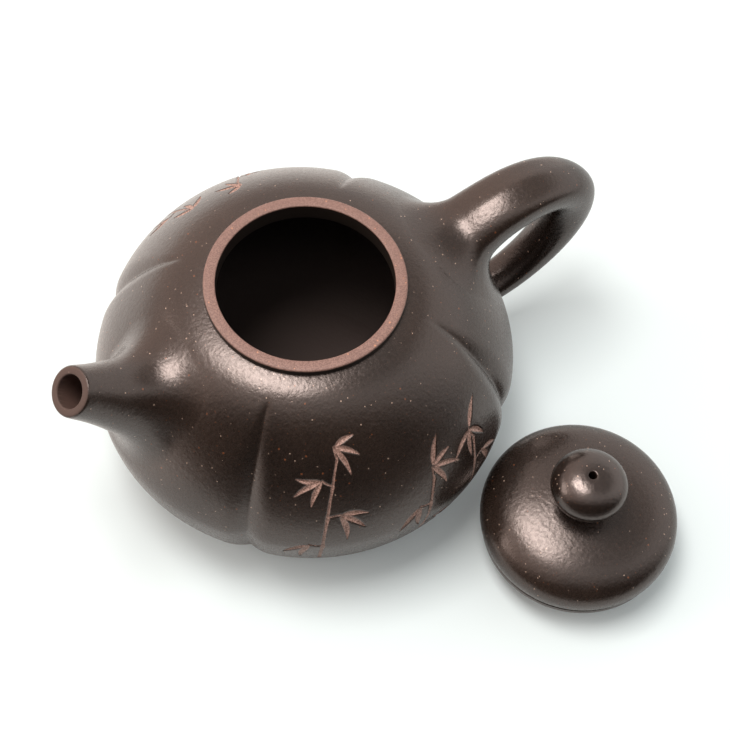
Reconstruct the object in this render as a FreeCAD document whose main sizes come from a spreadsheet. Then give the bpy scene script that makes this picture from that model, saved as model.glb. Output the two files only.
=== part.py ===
import FreeCAD, Part
import math
import os
import Sketcher

# A small clay teapot with its lid taken off and set down beside it, in millimetres.
# The origin is the centre of the foot ring on the table. +Z is up, the spout points to -X and the
# handle to +X, so the carved front faces -Y.  Each piece is one lump of clay as it comes off the
# maker's bench: the walls are slabs, and the joints between the pieces are luted face to face.

doc = FreeCAD.newDocument("clay_teapot")

# ---------------------------------------------------------------------------------------------
# Driving dimensions
# ---------------------------------------------------------------------------------------------

SIZES = [
    # belly and shoulder
    ("belly_radius", 46.3, "from the axis to the middle of a lobe, at its widest"),
    ("belly_height", 25.3, "height of the widest place above the table"),
    ("belly_roundness", 2.05, "exponent of the curve from the belly down to the foot"),
    ("shoulder_roundness", 1.57, "exponent of the curve from the belly up to the mouth"),
    ("lobe_offset", 3.0, "how far a lobe's own centre stands off the axis at the belly"),
    ("crease_depth", 2.3, "how far a crease lies inside the lobes at the belly"),
    ("crease_round", 8.0, "radius with which a lobe turns into its creases at the belly"),
    ("lobe_fade", 0.05, "share of the lobes and creases that is left at mouth and foot"),
    ("crease_fade_below", 1.4, "power by which the creases fade out under the belly"),
    ("wall", 3.0, "thickness of the slab wall"),
    # mouth
    ("mouth_height", 56.2, "top of the mouth ring above the table"),
    ("mouth_ring_radius", 21.0, "outside of the mouth ring"),
    ("mouth_bore_radius", 18.5, "clear radius of the mouth"),
    ("mouth_ring_rise", 1.6, "how far the ring stands above the shoulder"),
    ("mouth_edge_round", 0.35, "rounding of the ring's two upper edges"),
    ("shoulder_inset", 0.4, "how far the shoulder curve runs on under the ring"),
    # base
    ("foot_height", 3.0, "height of the foot ring"),
    ("foot_radius", 27.2, "outside of the foot ring at its top"),
    ("foot_width", 4.0, "width of the foot ring at its top"),
    ("foot_draft", 0.6, "how much narrower each side of the ring is at the table"),
    ("base_thickness", 3.5, "thickness of the floor slab"),
    ("base_ledge", 1.2, "width of the wall that stands outside the floor slab"),
    ("base_overlap", 2.0, "width of the wall's inner edge that rests on the floor slab"),
    # spout
    ("spout_overhang", 6.5, "how far the centre of the spout's lip stands out past the belly"),
    ("spout_rise", 0.1, "centre of the spout's lip above the mouth ring's top"),
    ("spout_slope", 46.8, "rise of the spout's axis in degrees"),
    ("spout_lip_radius", 5.25, "outside of the spout at its lip"),
    ("spout_root_radius", 14.6, "outside of the flared root, inside the belly"),
    ("spout_length", 30.5, "from the lip to the end of the flare"),
    ("spout_flare", 1.75, "how far the side of the flare curves in from a straight line"),
    ("spout_lip_round", 0.6, "rounding of the lip's outer edge"),
    ("spout_bore_radius", 3.4, "clear radius at the lip"),
    ("spout_bore_taper", 0.152, "growth of the bore's radius along its length"),
    # strainer
    ("strainer_radius", 7.6, "outside of the perforated dome and of its seat in the wall"),
    ("strainer_wall", 1.6, "thickness of the dome"),
    ("strainer_depth", 23.4, "from the lip to the centre of the dome, along the spout"),
    ("strainer_hole_radius", 0.85, "radius of one leaf hole"),
    ("strainer_hole_step", 28.0, "degrees from one ring of leaf holes to the next"),
    # handle
    ("handle_overhang", 1.8, "how far the centre of the ear stands out past the belly"),
    ("handle_height", 33.1, "centre of the ear above the table"),
    ("handle_long", 20.9, "longer half axis of the ear's centre line"),
    ("handle_short", 16.0, "shorter half axis of the ear's centre line"),
    ("handle_lean", 35.0, "rise of the longer axis in degrees"),
    ("handle_root_radius", 7.5, "radius of the handle at its upper root"),
    ("handle_end_radius", 3.9, "radius of the handle at its lower end"),
    ("handle_upper_flare", 5.6, "how much the upper root widens into the shoulder"),
    ("handle_lower_flare", 3.2, "how much the lower end widens into the belly"),
    # lid
    ("lid_gap", 0.3, "clear space between the belly and the lid's edge, seen from above"),
    ("lid_bearing", -57.4, "direction of the lid from the pot, in degrees from +X"),
    ("lid_clearance", 0.35, "gap between the lid's flange and the mouth"),
    ("lid_flange_depth", 6.4, "how far the flange reaches down from the seat"),
    ("lid_flange_wall", 2.5, "thickness of the flange"),
    ("lid_seat_thickness", 1.4, "thickness of the seat ring"),
    ("lid_cover_radius", 21.7, "widest radius of the cover"),
    ("lid_cover_height", 11.6, "from the seat ring's top to the crown of the cover"),
    ("lid_cover_wall", 3.4, "thickness of the cover under the knob"),
    ("lid_edge_radius", 5.4, "radius of the cover's rounded edge"),
    ("lid_edge_height", 3.3, "from the seat ring's top to the centre of that edge"),
    ("lid_recess_step", 3.0, "upright part of the hollow under the cover"),
    # knob
    ("knob_radius", 8.25, "widest radius of the knob"),
    ("knob_half_height", 5.1, "half the height of the knob's flattened ball"),
    ("knob_neck_height", 2.7, "from the crown of the cover to the underside of the ball"),
    ("knob_neck_radius", 4.4, "radius of the neck where it meets the ball"),
    ("knob_base_radius", 5.6, "radius of the neck where it stands on the cover"),
    ("knob_sink", 1.4, "how deep the neck reaches into the ball"),
    ("vent_radius", 0.85, "radius of the air hole"),
]

sheet = doc.addObject("Spreadsheet::Sheet", "Sizes")
for row, (alias, value, meaning) in enumerate(SIZES, start=1):
    sheet.set(f"A{row}", alias)
    sheet.set(f"B{row}", str(value))
    sheet.set(f"C{row}", meaning)
    sheet.setAlias(f"B{row}", alias)
doc.recompute()

# Places that follow from the driving dimensions, written once and used by every piece they touch
SHOULDER_HEIGHT = "(Sizes.mouth_height - Sizes.mouth_ring_rise)"
SHOULDER_RADIUS = "(Sizes.mouth_ring_radius - Sizes.shoulder_inset)"
CAVITY_TOP = f"({SHOULDER_HEIGHT} - Sizes.wall)"
BASE_TOP = "(Sizes.foot_height + Sizes.base_thickness)"
BASE_RADIUS = "(Sizes.foot_radius - Sizes.base_ledge)"
CAVITY_FLOOR_RADIUS = f"({BASE_RADIUS} - Sizes.base_overlap)"
SPOUT_REACH = "(Sizes.belly_radius + Sizes.spout_overhang)"
SPOUT_HEIGHT = "(Sizes.mouth_height + Sizes.spout_rise)"
HANDLE_REACH = "(Sizes.belly_radius + Sizes.handle_overhang)"
LID_DISTANCE = "(Sizes.belly_radius + Sizes.lid_gap + Sizes.lid_cover_radius)"
LID_X = f"({LID_DISTANCE} * cos(Sizes.lid_bearing))"
LID_Y = f"({LID_DISTANCE} * sin(Sizes.lid_bearing))"
FLANGE_RADIUS = "(Sizes.mouth_bore_radius - Sizes.lid_clearance)"
RECESS_RADIUS = f"({FLANGE_RADIUS} - Sizes.lid_flange_wall)"
COVER_BOTTOM = "(Sizes.lid_flange_depth + Sizes.lid_seat_thickness)"
COVER_CROWN = f"({COVER_BOTTOM} + Sizes.lid_cover_height)"
KNOB_CENTRE = f"({COVER_CROWN} + Sizes.knob_neck_height + Sizes.knob_half_height)"
KNOB_TOP = f"({KNOB_CENTRE} + Sizes.knob_half_height)"

ORIGIN_POINT = (-1, 1)
AXIS_NUMBER = {"X": -1, "Y": -2}    # how a sketch counts its own axes
EDGE_MATCH = 0.01    # how near an edge's radius and height come to the wanted ones
CUT_MARGIN = 5.0    # how far a cutting solid runs past the face it opens


def value_of(expression):
    """The present value of an expression on the sheet, in millimetres or degrees."""
    result = sheet.evalExpression(expression)
    return float(getattr(result, "Value", result))


def origin_plane(body, role):
    """A plane or axis of the body's own origin, found by its role."""
    for feature in body.Origin.OriginFeatures:
        if feature.Role == role:
            return feature
    raise ValueError(role)


def new_body(name):
    return doc.addObject("PartDesign::Body", name)


def new_sketch(body, name, role="XY_Plane"):
    sketch = body.newObject("Sketcher::SketchObject", name)
    sketch.AttachmentSupport = [(origin_plane(body, role), "")]
    sketch.MapMode = "FlatFace"
    return sketch


def bind(sketch, constraint, name, expression):
    """Adds a dimension to a sketch, names it and ties it to the sheet."""
    index = sketch.addConstraint(constraint)
    sketch.renameConstraint(index, name)
    sketch.setExpression(f"Constraints.{name}", expression)


def move_to(part, x="0", y="0", z="0"):
    """Ties a piece's place to the sheet."""
    for axis, expression in (("x", x), ("y", y), ("z", z)):
        part.setExpression(f"Placement.Base.{axis}", f"({expression}) * 1 mm")


def millimetres(expression):
    return f"({expression}) * 1 mm"


def finish(feature, label):
    feature.Label = label
    return feature


# ---------------------------------------------------------------------------------------------
# The lobed form: a loft through sections of four equal lobes that meet in creases
# ---------------------------------------------------------------------------------------------

LOBES = ((1, 0), (0, 1), (-1, 0), (0, -1))
LOWER_STATIONS = (90, 66, 44, 24)
UPPER_STATIONS = (0, 17, 32, 46, 60, 74, 90)


def touching_centre(lobe_centre, reach, crease, radius):
    """Centre of the arc that passes through the crease and touches the lobe's arc from inside."""
    apart = crease - lobe_centre
    distance = apart.Length
    along = (reach ** 2 - radius ** 2 + distance ** 2) / (2 * distance)
    aside = (reach ** 2 - along ** 2) ** 0.5
    ahead = apart / distance
    left = FreeCAD.Vector(-ahead.y, ahead.x, 0)
    both = [lobe_centre + ahead * along + left * aside * side for side in (-1, 1)]
    return min(both, key=lambda centre: abs(lobe_centre.getAngle(centre)))


def arc_between(centre, radius, begin, end):
    circle = Part.Circle(centre, FreeCAD.Vector(0, 0, 1), radius)
    return Part.ArcOfCircle(circle, circle.parameter(begin), circle.parameter(end))


def lobed_section(body, name, height, radius, offset, depth, bend):
    """A closed outline of twelve arcs: a long one for each lobe and a short one at each side of it.

    The long arc's centre stands off the axis by the offset.  The short arcs carry the outline on
    into the creases, which lie on the diagonals, inside the lobes by the depth.
    """
    sketch = new_sketch(body, name)
    sketch.setExpression("AttachmentOffset.Base.z", millimetres(height))
    shift = value_of(offset)
    lobe_radius = value_of(radius) - shift
    bend_radius = value_of(bend)
    corner = (value_of(radius) - value_of(depth)) / 2 ** 0.5
    for x, y in LOBES:
        centre = FreeCAD.Vector(x * shift, y * shift, 0)
        first = FreeCAD.Vector((x + y) * corner, (y - x) * corner, 0)
        last = FreeCAD.Vector((x - y) * corner, (y + x) * corner, 0)
        reach = lobe_radius - bend_radius
        first_centre = touching_centre(centre, reach, first, bend_radius)
        last_centre = touching_centre(centre, reach, last, bend_radius)
        first_touch = centre + (first_centre - centre) * (lobe_radius / reach)
        last_touch = centre + (last_centre - centre) * (lobe_radius / reach)
        sketch.addGeometry(arc_between(first_centre, bend_radius, first, first_touch))
        sketch.addGeometry(arc_between(centre, lobe_radius, first_touch, last_touch))
        sketch.addGeometry(arc_between(last_centre, bend_radius, last_touch, last))
    add = sketch.addConstraint
    for lobe, (x, y) in enumerate(LOBES):
        before, long_arc, after = (3 * lobe + part for part in range(3))
        add(Sketcher.Constraint("Tangent", before, 2, long_arc, 1))
        add(Sketcher.Constraint("Tangent", long_arc, 2, after, 1))
        add(Sketcher.Constraint("Coincident", after, 2, (after + 1) % 12, 1))
        add(Sketcher.Constraint("PointOnObject", long_arc, 3, AXIS_NUMBER["X" if x else "Y"]))
        add(Sketcher.Constraint("Equal", before, after))
        if lobe:
            add(Sketcher.Constraint("Equal", 1, long_arc))
            add(Sketcher.Constraint("Equal", 0, before))
        kind = "DistanceX" if x else "DistanceY"
        bind_coordinate(sketch, kind, (long_arc, 3), x + y, shift, f"offset_{lobe}", offset)
        inset = f"(({radius} - {depth}) / sqrt(2))"
        bind_coordinate(sketch, "DistanceX", (after, 2), x - y, corner, f"crease_x_{lobe}", inset)
        bind_coordinate(sketch, "DistanceY", (after, 2), y + x, corner, f"crease_y_{lobe}", inset)
    bind(sketch, Sketcher.Constraint("Radius", 1, lobe_radius), "lobe_radius", f"{radius} - {offset}")
    bind(sketch, Sketcher.Constraint("Radius", 0, bend_radius), "bend_radius", bend)
    return sketch


def bind_coordinate(sketch, kind, point, side, value, name, expression):
    """Ties a point's distance from an axis to the sheet, on the side given by the sign."""
    ends = (*ORIGIN_POINT, *point) if side > 0 else (*point, *ORIGIN_POINT)
    bind(sketch, Sketcher.Constraint(kind, *ends, value), name, expression)


def lobed_body(name, belly, top_radius, top_height, floor_radius, floor_height):
    """A lobed solid: one rounded curve from the floor to the belly and one on to the top."""
    body = new_body(name)
    stations = [("low", angle, floor_radius, floor_height, "Sizes.belly_roundness",
                 "Sizes.crease_fade_below") for angle in LOWER_STATIONS]
    stations += [("high", angle, top_radius, top_height, "Sizes.shoulder_roundness", "1")
                 for angle in UPPER_STATIONS]
    sections = []
    for half, angle, end_radius, end_height, roundness, crease_power in stations:
        share = f"pow(abs(cos({angle})); 2 / {roundness})"
        climb = f"pow(abs(sin({angle})); 2 / {roundness})"
        radius = f"({end_radius} + ({belly} - {end_radius}) * {share})"
        height = f"(Sizes.belly_height + ({end_height} - Sizes.belly_height) * {climb})"
        fade = f"(Sizes.lobe_fade + (1 - Sizes.lobe_fade) * abs(cos({angle})))"
        crease_fade = ("(Sizes.lobe_fade"
                       f" + (1 - Sizes.lobe_fade) * pow(abs(cos({angle})); {crease_power}))")
        sections.append(lobed_section(
            body, f"{name}_{half}_{angle}", height, radius,
            f"(Sizes.lobe_offset * {fade})", f"(Sizes.crease_depth * {crease_fade})",
            f"(Sizes.crease_round * {radius} / Sizes.belly_radius)"))
    loft = body.newObject("PartDesign::AdditiveLoft", f"{name}_loft")
    loft.Profile = sections[0]
    loft.Sections = sections[1:]
    loft.Ruled = False
    return body


body_outside = lobed_body("body_outside", "Sizes.belly_radius", SHOULDER_RADIUS, SHOULDER_HEIGHT,
                          "Sizes.foot_radius", "Sizes.foot_height")
body_inside = lobed_body("body_inside", "(Sizes.belly_radius - Sizes.wall)", SHOULDER_RADIUS,
                         CAVITY_TOP, CAVITY_FLOOR_RADIUS, BASE_TOP)


# ---------------------------------------------------------------------------------------------
# Plain solids of revolution
# ---------------------------------------------------------------------------------------------

def cylinder(name, radius, bottom, top, x="0", y="0"):
    """An upright cylinder between two heights."""
    solid = doc.addObject("Part::Cylinder", name)
    solid.setExpression("Radius", millimetres(radius))
    solid.setExpression("Height", millimetres(f"{top} - {bottom}"))
    move_to(solid, x, y, bottom)
    return solid


def cut(name, base, *tools):
    """The base with every tool taken out of it."""
    result = doc.addObject("Part::Cut", name)
    result.Base = base
    if len(tools) == 1:
        result.Tool = tools[0]
    else:
        gathered = doc.addObject("Part::MultiFuse", f"{name}_tools")
        gathered.Shapes = list(tools)
        result.Tool = gathered
    return result


def revolved(name, corners, arcs=()):
    """A body turned round the upright axis from a closed profile of lines and arcs.

    corners holds (x, z) expressions in order.  arcs holds (index, bulge) pairs: the side that
    starts at that corner is an arc which stands out by the bulge from its chord, to the right of
    the way the outline runs when the bulge is positive.
    """
    body = new_body(name)
    sketch = new_sketch(body, f"{name}_profile", "XZ_Plane")
    points = [FreeCAD.Vector(value_of(x), value_of(z), 0) for x, z in corners]
    bulges = dict(arcs)
    count = len(points)
    ends = []
    for index, start in enumerate(points):
        stop = points[(index + 1) % count]
        if index not in bulges:
            sketch.addGeometry(Part.LineSegment(start, stop))
            ends.append((1, 2))
            continue
        side = stop - start
        right = FreeCAD.Vector(side.y, -side.x, 0).normalize()
        middle = (start + stop) / 2 + right * value_of(bulges[index])
        arc = Part.Arc(start, middle, stop)
        sketch.addGeometry(arc)
        # an arc in a sketch always runs anticlockwise, so its two ends may be the other way round
        ends.append((2, 1) if value_of(bulges[index]) < 0 else (1, 2))
    for index in range(count):
        following = (index + 1) % count
        sketch.addConstraint(Sketcher.Constraint(
            "Coincident", index, ends[index][1], following, ends[following][0]))
    for index, (x, z) in enumerate(corners):
        point = (index, ends[index][0])
        for kind, expression, letter in (("DistanceX", x, "x"), ("DistanceY", z, "z")):
            distance = Sketcher.Constraint(kind, *ORIGIN_POINT, *point, value_of(expression))
            bind(sketch, distance, f"{letter}_{index}", expression)
    for index, bulge in bulges.items():
        start, stop = corners[index], corners[(index + 1) % count]
        chord = f"sqrt(pow({stop[0]} - ({start[0]}); 2) + pow({stop[1]} - ({start[1]}); 2))"
        rise = f"abs({bulge})"
        radius = f"(pow({chord}; 2) / (8 * {rise}) + {rise} / 2)"
        size = Sketcher.Constraint("Radius", index, value_of(radius))
        bind(sketch, size, f"radius_{index}", radius)
    turn = body.newObject("PartDesign::Revolution", f"{name}_turn")
    turn.Profile = sketch
    turn.ReferenceAxis = (sketch, ["V_Axis"])
    turn.Angle = 360.0
    return body


def round_edges(body, name, radius, wanted):
    """Rounds the round edges of the body's tip whose (radius, height) pairs are wanted."""
    doc.recompute()
    base = body.Tip
    names = []
    for number, edge in enumerate(base.Shape.Edges, start=1):
        if not edge.isClosed():
            continue
        for edge_radius, height in wanted:
            same_radius = abs(edge.Length / math.tau - value_of(edge_radius)) < EDGE_MATCH
            if same_radius and abs(edge.CenterOfMass.z - value_of(height)) < EDGE_MATCH:
                names.append(f"Edge{number}")
    fillet = body.newObject("PartDesign::Fillet", name)
    fillet.Base = (base, names)
    fillet.setExpression("Radius", millimetres(radius))
    return fillet


# ---------------------------------------------------------------------------------------------
# Pot: mouth ring, floor slab and foot ring
# ---------------------------------------------------------------------------------------------

collar_body = revolved("mouth_collar_body", [
    ("Sizes.mouth_bore_radius", CAVITY_TOP),
    ("Sizes.mouth_ring_radius", CAVITY_TOP),
    ("Sizes.mouth_ring_radius", "Sizes.mouth_height"),
    ("Sizes.mouth_bore_radius", "Sizes.mouth_height"),
])
round_edges(collar_body, "mouth_collar_edges", "Sizes.mouth_edge_round", [
    ("Sizes.mouth_ring_radius", "Sizes.mouth_height"),
    ("Sizes.mouth_bore_radius", "Sizes.mouth_height"),
])
mouth_collar = finish(collar_body, "mouth_collar")

base_disc = finish(cylinder("base_slab", BASE_RADIUS, "Sizes.foot_height", BASE_TOP), "base_disc")

foot_ring = finish(revolved("foot_ring_body", [
    ("Sizes.foot_radius - Sizes.foot_width + Sizes.foot_draft", "0"),
    ("Sizes.foot_radius - Sizes.foot_draft", "0"),
    ("Sizes.foot_radius", "Sizes.foot_height"),
    ("Sizes.foot_radius - Sizes.foot_width", "Sizes.foot_height"),
]), "foot_ring")


# ---------------------------------------------------------------------------------------------
# Spout: a flared tube on a slope, bored by a cone and cut to the belly
# ---------------------------------------------------------------------------------------------

def along_spout(part, distance):
    """Sets a piece down on the spout's axis, its own +Z pointing into the pot."""
    part.Placement.Rotation = FreeCAD.Rotation(FreeCAD.Vector(0, 1, 0), 135)
    part.setExpression("Placement.Rotation.Angle", "(90 + Sizes.spout_slope) * 1 deg")
    move_to(part, f"{distance} * cos(Sizes.spout_slope) - {SPOUT_REACH}", "0",
            f"{SPOUT_HEIGHT} - {distance} * sin(Sizes.spout_slope)")


def build_spout():
    tube = revolved("spout_tube", [
        ("0", "0"),
        ("Sizes.spout_lip_radius", "0"),
        ("Sizes.spout_root_radius", "Sizes.spout_length"),
        ("0", "Sizes.spout_length"),
    ], arcs=[(1, "-Sizes.spout_flare")])
    round_edges(tube, "spout_lip_edge", "Sizes.spout_lip_round", [("Sizes.spout_lip_radius", "0")])
    along_spout(tube, "0")

    bore = doc.addObject("Part::Cone", "spout_bore")
    bore.setExpression("Height", millimetres(f"Sizes.spout_length + {CUT_MARGIN}"))
    bore.setExpression("Radius1", millimetres(
        f"Sizes.spout_bore_radius - {CUT_MARGIN} * Sizes.spout_bore_taper"))
    bore.setExpression("Radius2", millimetres(
        "Sizes.spout_bore_radius + Sizes.spout_length * Sizes.spout_bore_taper"))
    along_spout(bore, f"(-{CUT_MARGIN})")
    return finish(cut("spout_cut", tube, bore, body_outside), "spout")


spout = build_spout()


# ---------------------------------------------------------------------------------------------
# Strainer: a perforated dome that fills a round hole in the wall behind the spout
# ---------------------------------------------------------------------------------------------

LEAF_HOLE_RINGS = (1, 6, 12)
DOME_CENTRE = "Sizes.strainer_depth"
DOME_HOLLOW = "(Sizes.strainer_radius - Sizes.strainer_wall)"


def build_strainer_plug():
    """A round-ended plug on the spout's axis, its flat end well outside the wall."""
    plug = revolved("strainer_plug", [
        ("0", f"-{DOME_CENTRE}"),
        ("Sizes.strainer_radius", f"-{DOME_CENTRE}"),
        ("Sizes.strainer_radius", "0"),
        ("0", "Sizes.strainer_radius"),
    ], arcs=[(2, "Sizes.strainer_radius * (1 - cos(45))")])
    along_spout(plug, DOME_CENTRE)
    return plug


def build_strainer():
    """A thimble with rings of straight leaf holes that point at the centre of its dome."""
    thimble = revolved("strainer_thimble", [
        (DOME_HOLLOW, f"-{DOME_CENTRE}"),
        ("Sizes.strainer_radius", f"-{DOME_CENTRE}"),
        ("Sizes.strainer_radius", "0"),
        ("0", "Sizes.strainer_radius"),
        ("0", DOME_HOLLOW),
        (DOME_HOLLOW, "0"),
    ], arcs=[
        (2, "Sizes.strainer_radius * (1 - cos(45))"),
        (4, f"-{DOME_HOLLOW} * (1 - cos(45))"),
    ])
    begin = f"({DOME_HOLLOW} * 0.7)"
    for ring, count in enumerate(LEAF_HOLE_RINGS):
        lean = f"({ring} * Sizes.strainer_hole_step)"
        hole = thimble.newObject("PartDesign::SubtractiveCylinder", f"leaf_hole_{ring}")
        hole.AttachmentSupport = [(origin_plane(thimble, "XY_Plane"), "")]
        hole.MapMode = "FlatFace"
        hole.AttachmentOffset.Rotation = FreeCAD.Rotation(FreeCAD.Vector(0, 1, 0), 1)
        hole.setExpression("AttachmentOffset.Rotation.Angle", f"{lean} * 1 deg")
        hole.setExpression("AttachmentOffset.Base.x", millimetres(f"{begin} * sin({lean})"))
        hole.setExpression("AttachmentOffset.Base.z", millimetres(f"{begin} * cos({lean})"))
        hole.setExpression("Radius", millimetres("Sizes.strainer_hole_radius"))
        hole.setExpression("Height", millimetres("Sizes.strainer_radius"))
        if count > 1:
            pattern = thimble.newObject("PartDesign::PolarPattern", f"leaf_holes_{ring}")
            pattern.Originals = [hole]
            pattern.Axis = (origin_plane(thimble, "Z_Axis"), [""])
            pattern.Angle = 360.0
            pattern.Occurrences = count
            thimble.Tip = pattern
    along_spout(thimble, DOME_CENTRE)
    trim = doc.addObject("Part::MultiCommon", "strainer_trim")
    trim.Shapes = [thimble, body_outside]
    return finish(trim, "strainer")


strainer_plug = build_strainer_plug()
strainer = build_strainer()


# ---------------------------------------------------------------------------------------------
# Body shell: the lobed form less its cavity and the seats of the pieces luted into it
# ---------------------------------------------------------------------------------------------

collar_seat = cylinder("collar_seat", "Sizes.mouth_ring_radius", CAVITY_TOP,
                       f"({CAVITY_TOP} + Sizes.wall + {CUT_MARGIN})")
base_seat = cylinder("base_seat", BASE_RADIUS, f"(Sizes.foot_height - {CUT_MARGIN})", BASE_TOP)
body_shell = finish(cut("body_shell_cut", body_outside, body_inside, collar_seat, base_seat,
                        strainer_plug), "body_shell")


# ---------------------------------------------------------------------------------------------
# Handle: an ear on a leaning ellipse, tapering from the upper root to the lower end
# ---------------------------------------------------------------------------------------------

HANDLE_START = 112      # places along the ellipse, in degrees; both ends lie inside the wall
HANDLE_STOP = -152
HANDLE_STATIONS = (112, 102, 92, 81, 67, 48, 27, 4, -20, -45, -70, -94, -114, -127, -140, -152)
ROOT_STATION = 93       # where the centre line leaves the shoulder
END_STATION = -129      # where it meets the belly again
UPPER_FLARE_START = 66  # where the handle begins to widen towards each root
LOWER_FLARE_START = -115
HANDLE_TAPER = 1.3


def round_section(body, name, radius):
    """A circle in the middle of a sketch plane."""
    sketch = new_sketch(body, name)
    centre = FreeCAD.Vector(0, 0, 0)
    sketch.addGeometry(Part.Circle(centre, FreeCAD.Vector(0, 0, 1), value_of(radius)))
    sketch.addConstraint(Sketcher.Constraint("Coincident", 0, 3, *ORIGIN_POINT))
    bind(sketch, Sketcher.Constraint("Radius", 0, value_of(radius)), "radius", radius)
    return sketch


def handle_section(body, number, angle):
    """A circle across the handle's centre line at one place along the ellipse."""
    turn = f"({angle})"
    along = f"(Sizes.handle_long * cos{turn})"
    across = f"(Sizes.handle_short * sin{turn})"
    x = (f"({HANDLE_REACH} + {along} * cos(Sizes.handle_lean)"
         f" - {across} * sin(Sizes.handle_lean))")
    z = (f"(Sizes.handle_height + {along} * sin(Sizes.handle_lean)"
         f" + {across} * cos(Sizes.handle_lean))")
    step_long = f"(Sizes.handle_long * sin{turn})"
    step_short = f"(Sizes.handle_short * cos{turn})"
    run = f"({step_long} * cos(Sizes.handle_lean) + {step_short} * sin(Sizes.handle_lean))"
    rise = f"({step_long} * sin(Sizes.handle_lean) - {step_short} * cos(Sizes.handle_lean))"

    share = min(max((angle - END_STATION) / (ROOT_STATION - END_STATION), 0.0), 1.0)
    upper = max(angle - UPPER_FLARE_START, 0) / (HANDLE_START - UPPER_FLARE_START)
    lower = max(LOWER_FLARE_START - angle, 0) / (LOWER_FLARE_START - HANDLE_STOP)
    radius = ("(Sizes.handle_end_radius"
              " + (Sizes.handle_root_radius - Sizes.handle_end_radius)"
              f" * {share ** HANDLE_TAPER:.6f}"
              f" + Sizes.handle_upper_flare * {upper ** 2.5:.6f}"
              f" + Sizes.handle_lower_flare * {lower ** 2:.6f})")
    sketch = round_section(body, f"handle_section_{number}", radius)
    sketch.AttachmentOffset = FreeCAD.Placement(
        FreeCAD.Vector(0, 0, 0), FreeCAD.Rotation(FreeCAD.Vector(0, 1, 0), 90))
    sketch.setExpression("AttachmentOffset.Base.x", millimetres(x))
    sketch.setExpression("AttachmentOffset.Base.z", millimetres(z))
    sketch.setExpression("AttachmentOffset.Rotation.Angle",
                         f"mod(atan2({run}; {rise}) + 360 deg; 360 deg)")
    return sketch


def build_handle():
    ear = new_body("handle_ear")
    sections = [handle_section(ear, number, angle)
                for number, angle in enumerate(HANDLE_STATIONS)]
    loft = ear.newObject("PartDesign::AdditiveLoft", "handle_loft")
    loft.Profile = sections[0]
    loft.Sections = sections[1:]
    return finish(cut("handle_cut", ear, body_outside), "handle")


handle = build_handle()


# ---------------------------------------------------------------------------------------------
# Lid, standing on its flange beside the pot
# ---------------------------------------------------------------------------------------------

def set_down(part):
    """Moves a piece of the lid to where the lid lies."""
    move_to(part, LID_X, LID_Y)
    return part


lid_flange = finish(set_down(revolved("lid_flange_body", [
    (RECESS_RADIUS, "0"),
    (FLANGE_RADIUS, "0"),
    (FLANGE_RADIUS, "Sizes.lid_flange_depth"),
    (RECESS_RADIUS, "Sizes.lid_flange_depth"),
])), "lid_flange")

lid_seat_ring = finish(set_down(revolved("lid_seat_ring_body", [
    (RECESS_RADIUS, "Sizes.lid_flange_depth"),
    ("Sizes.mouth_ring_radius", "Sizes.lid_flange_depth"),
    ("Sizes.mouth_ring_radius", COVER_BOTTOM),
    (RECESS_RADIUS, COVER_BOTTOM),
])), "lid_seat_ring")


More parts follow.
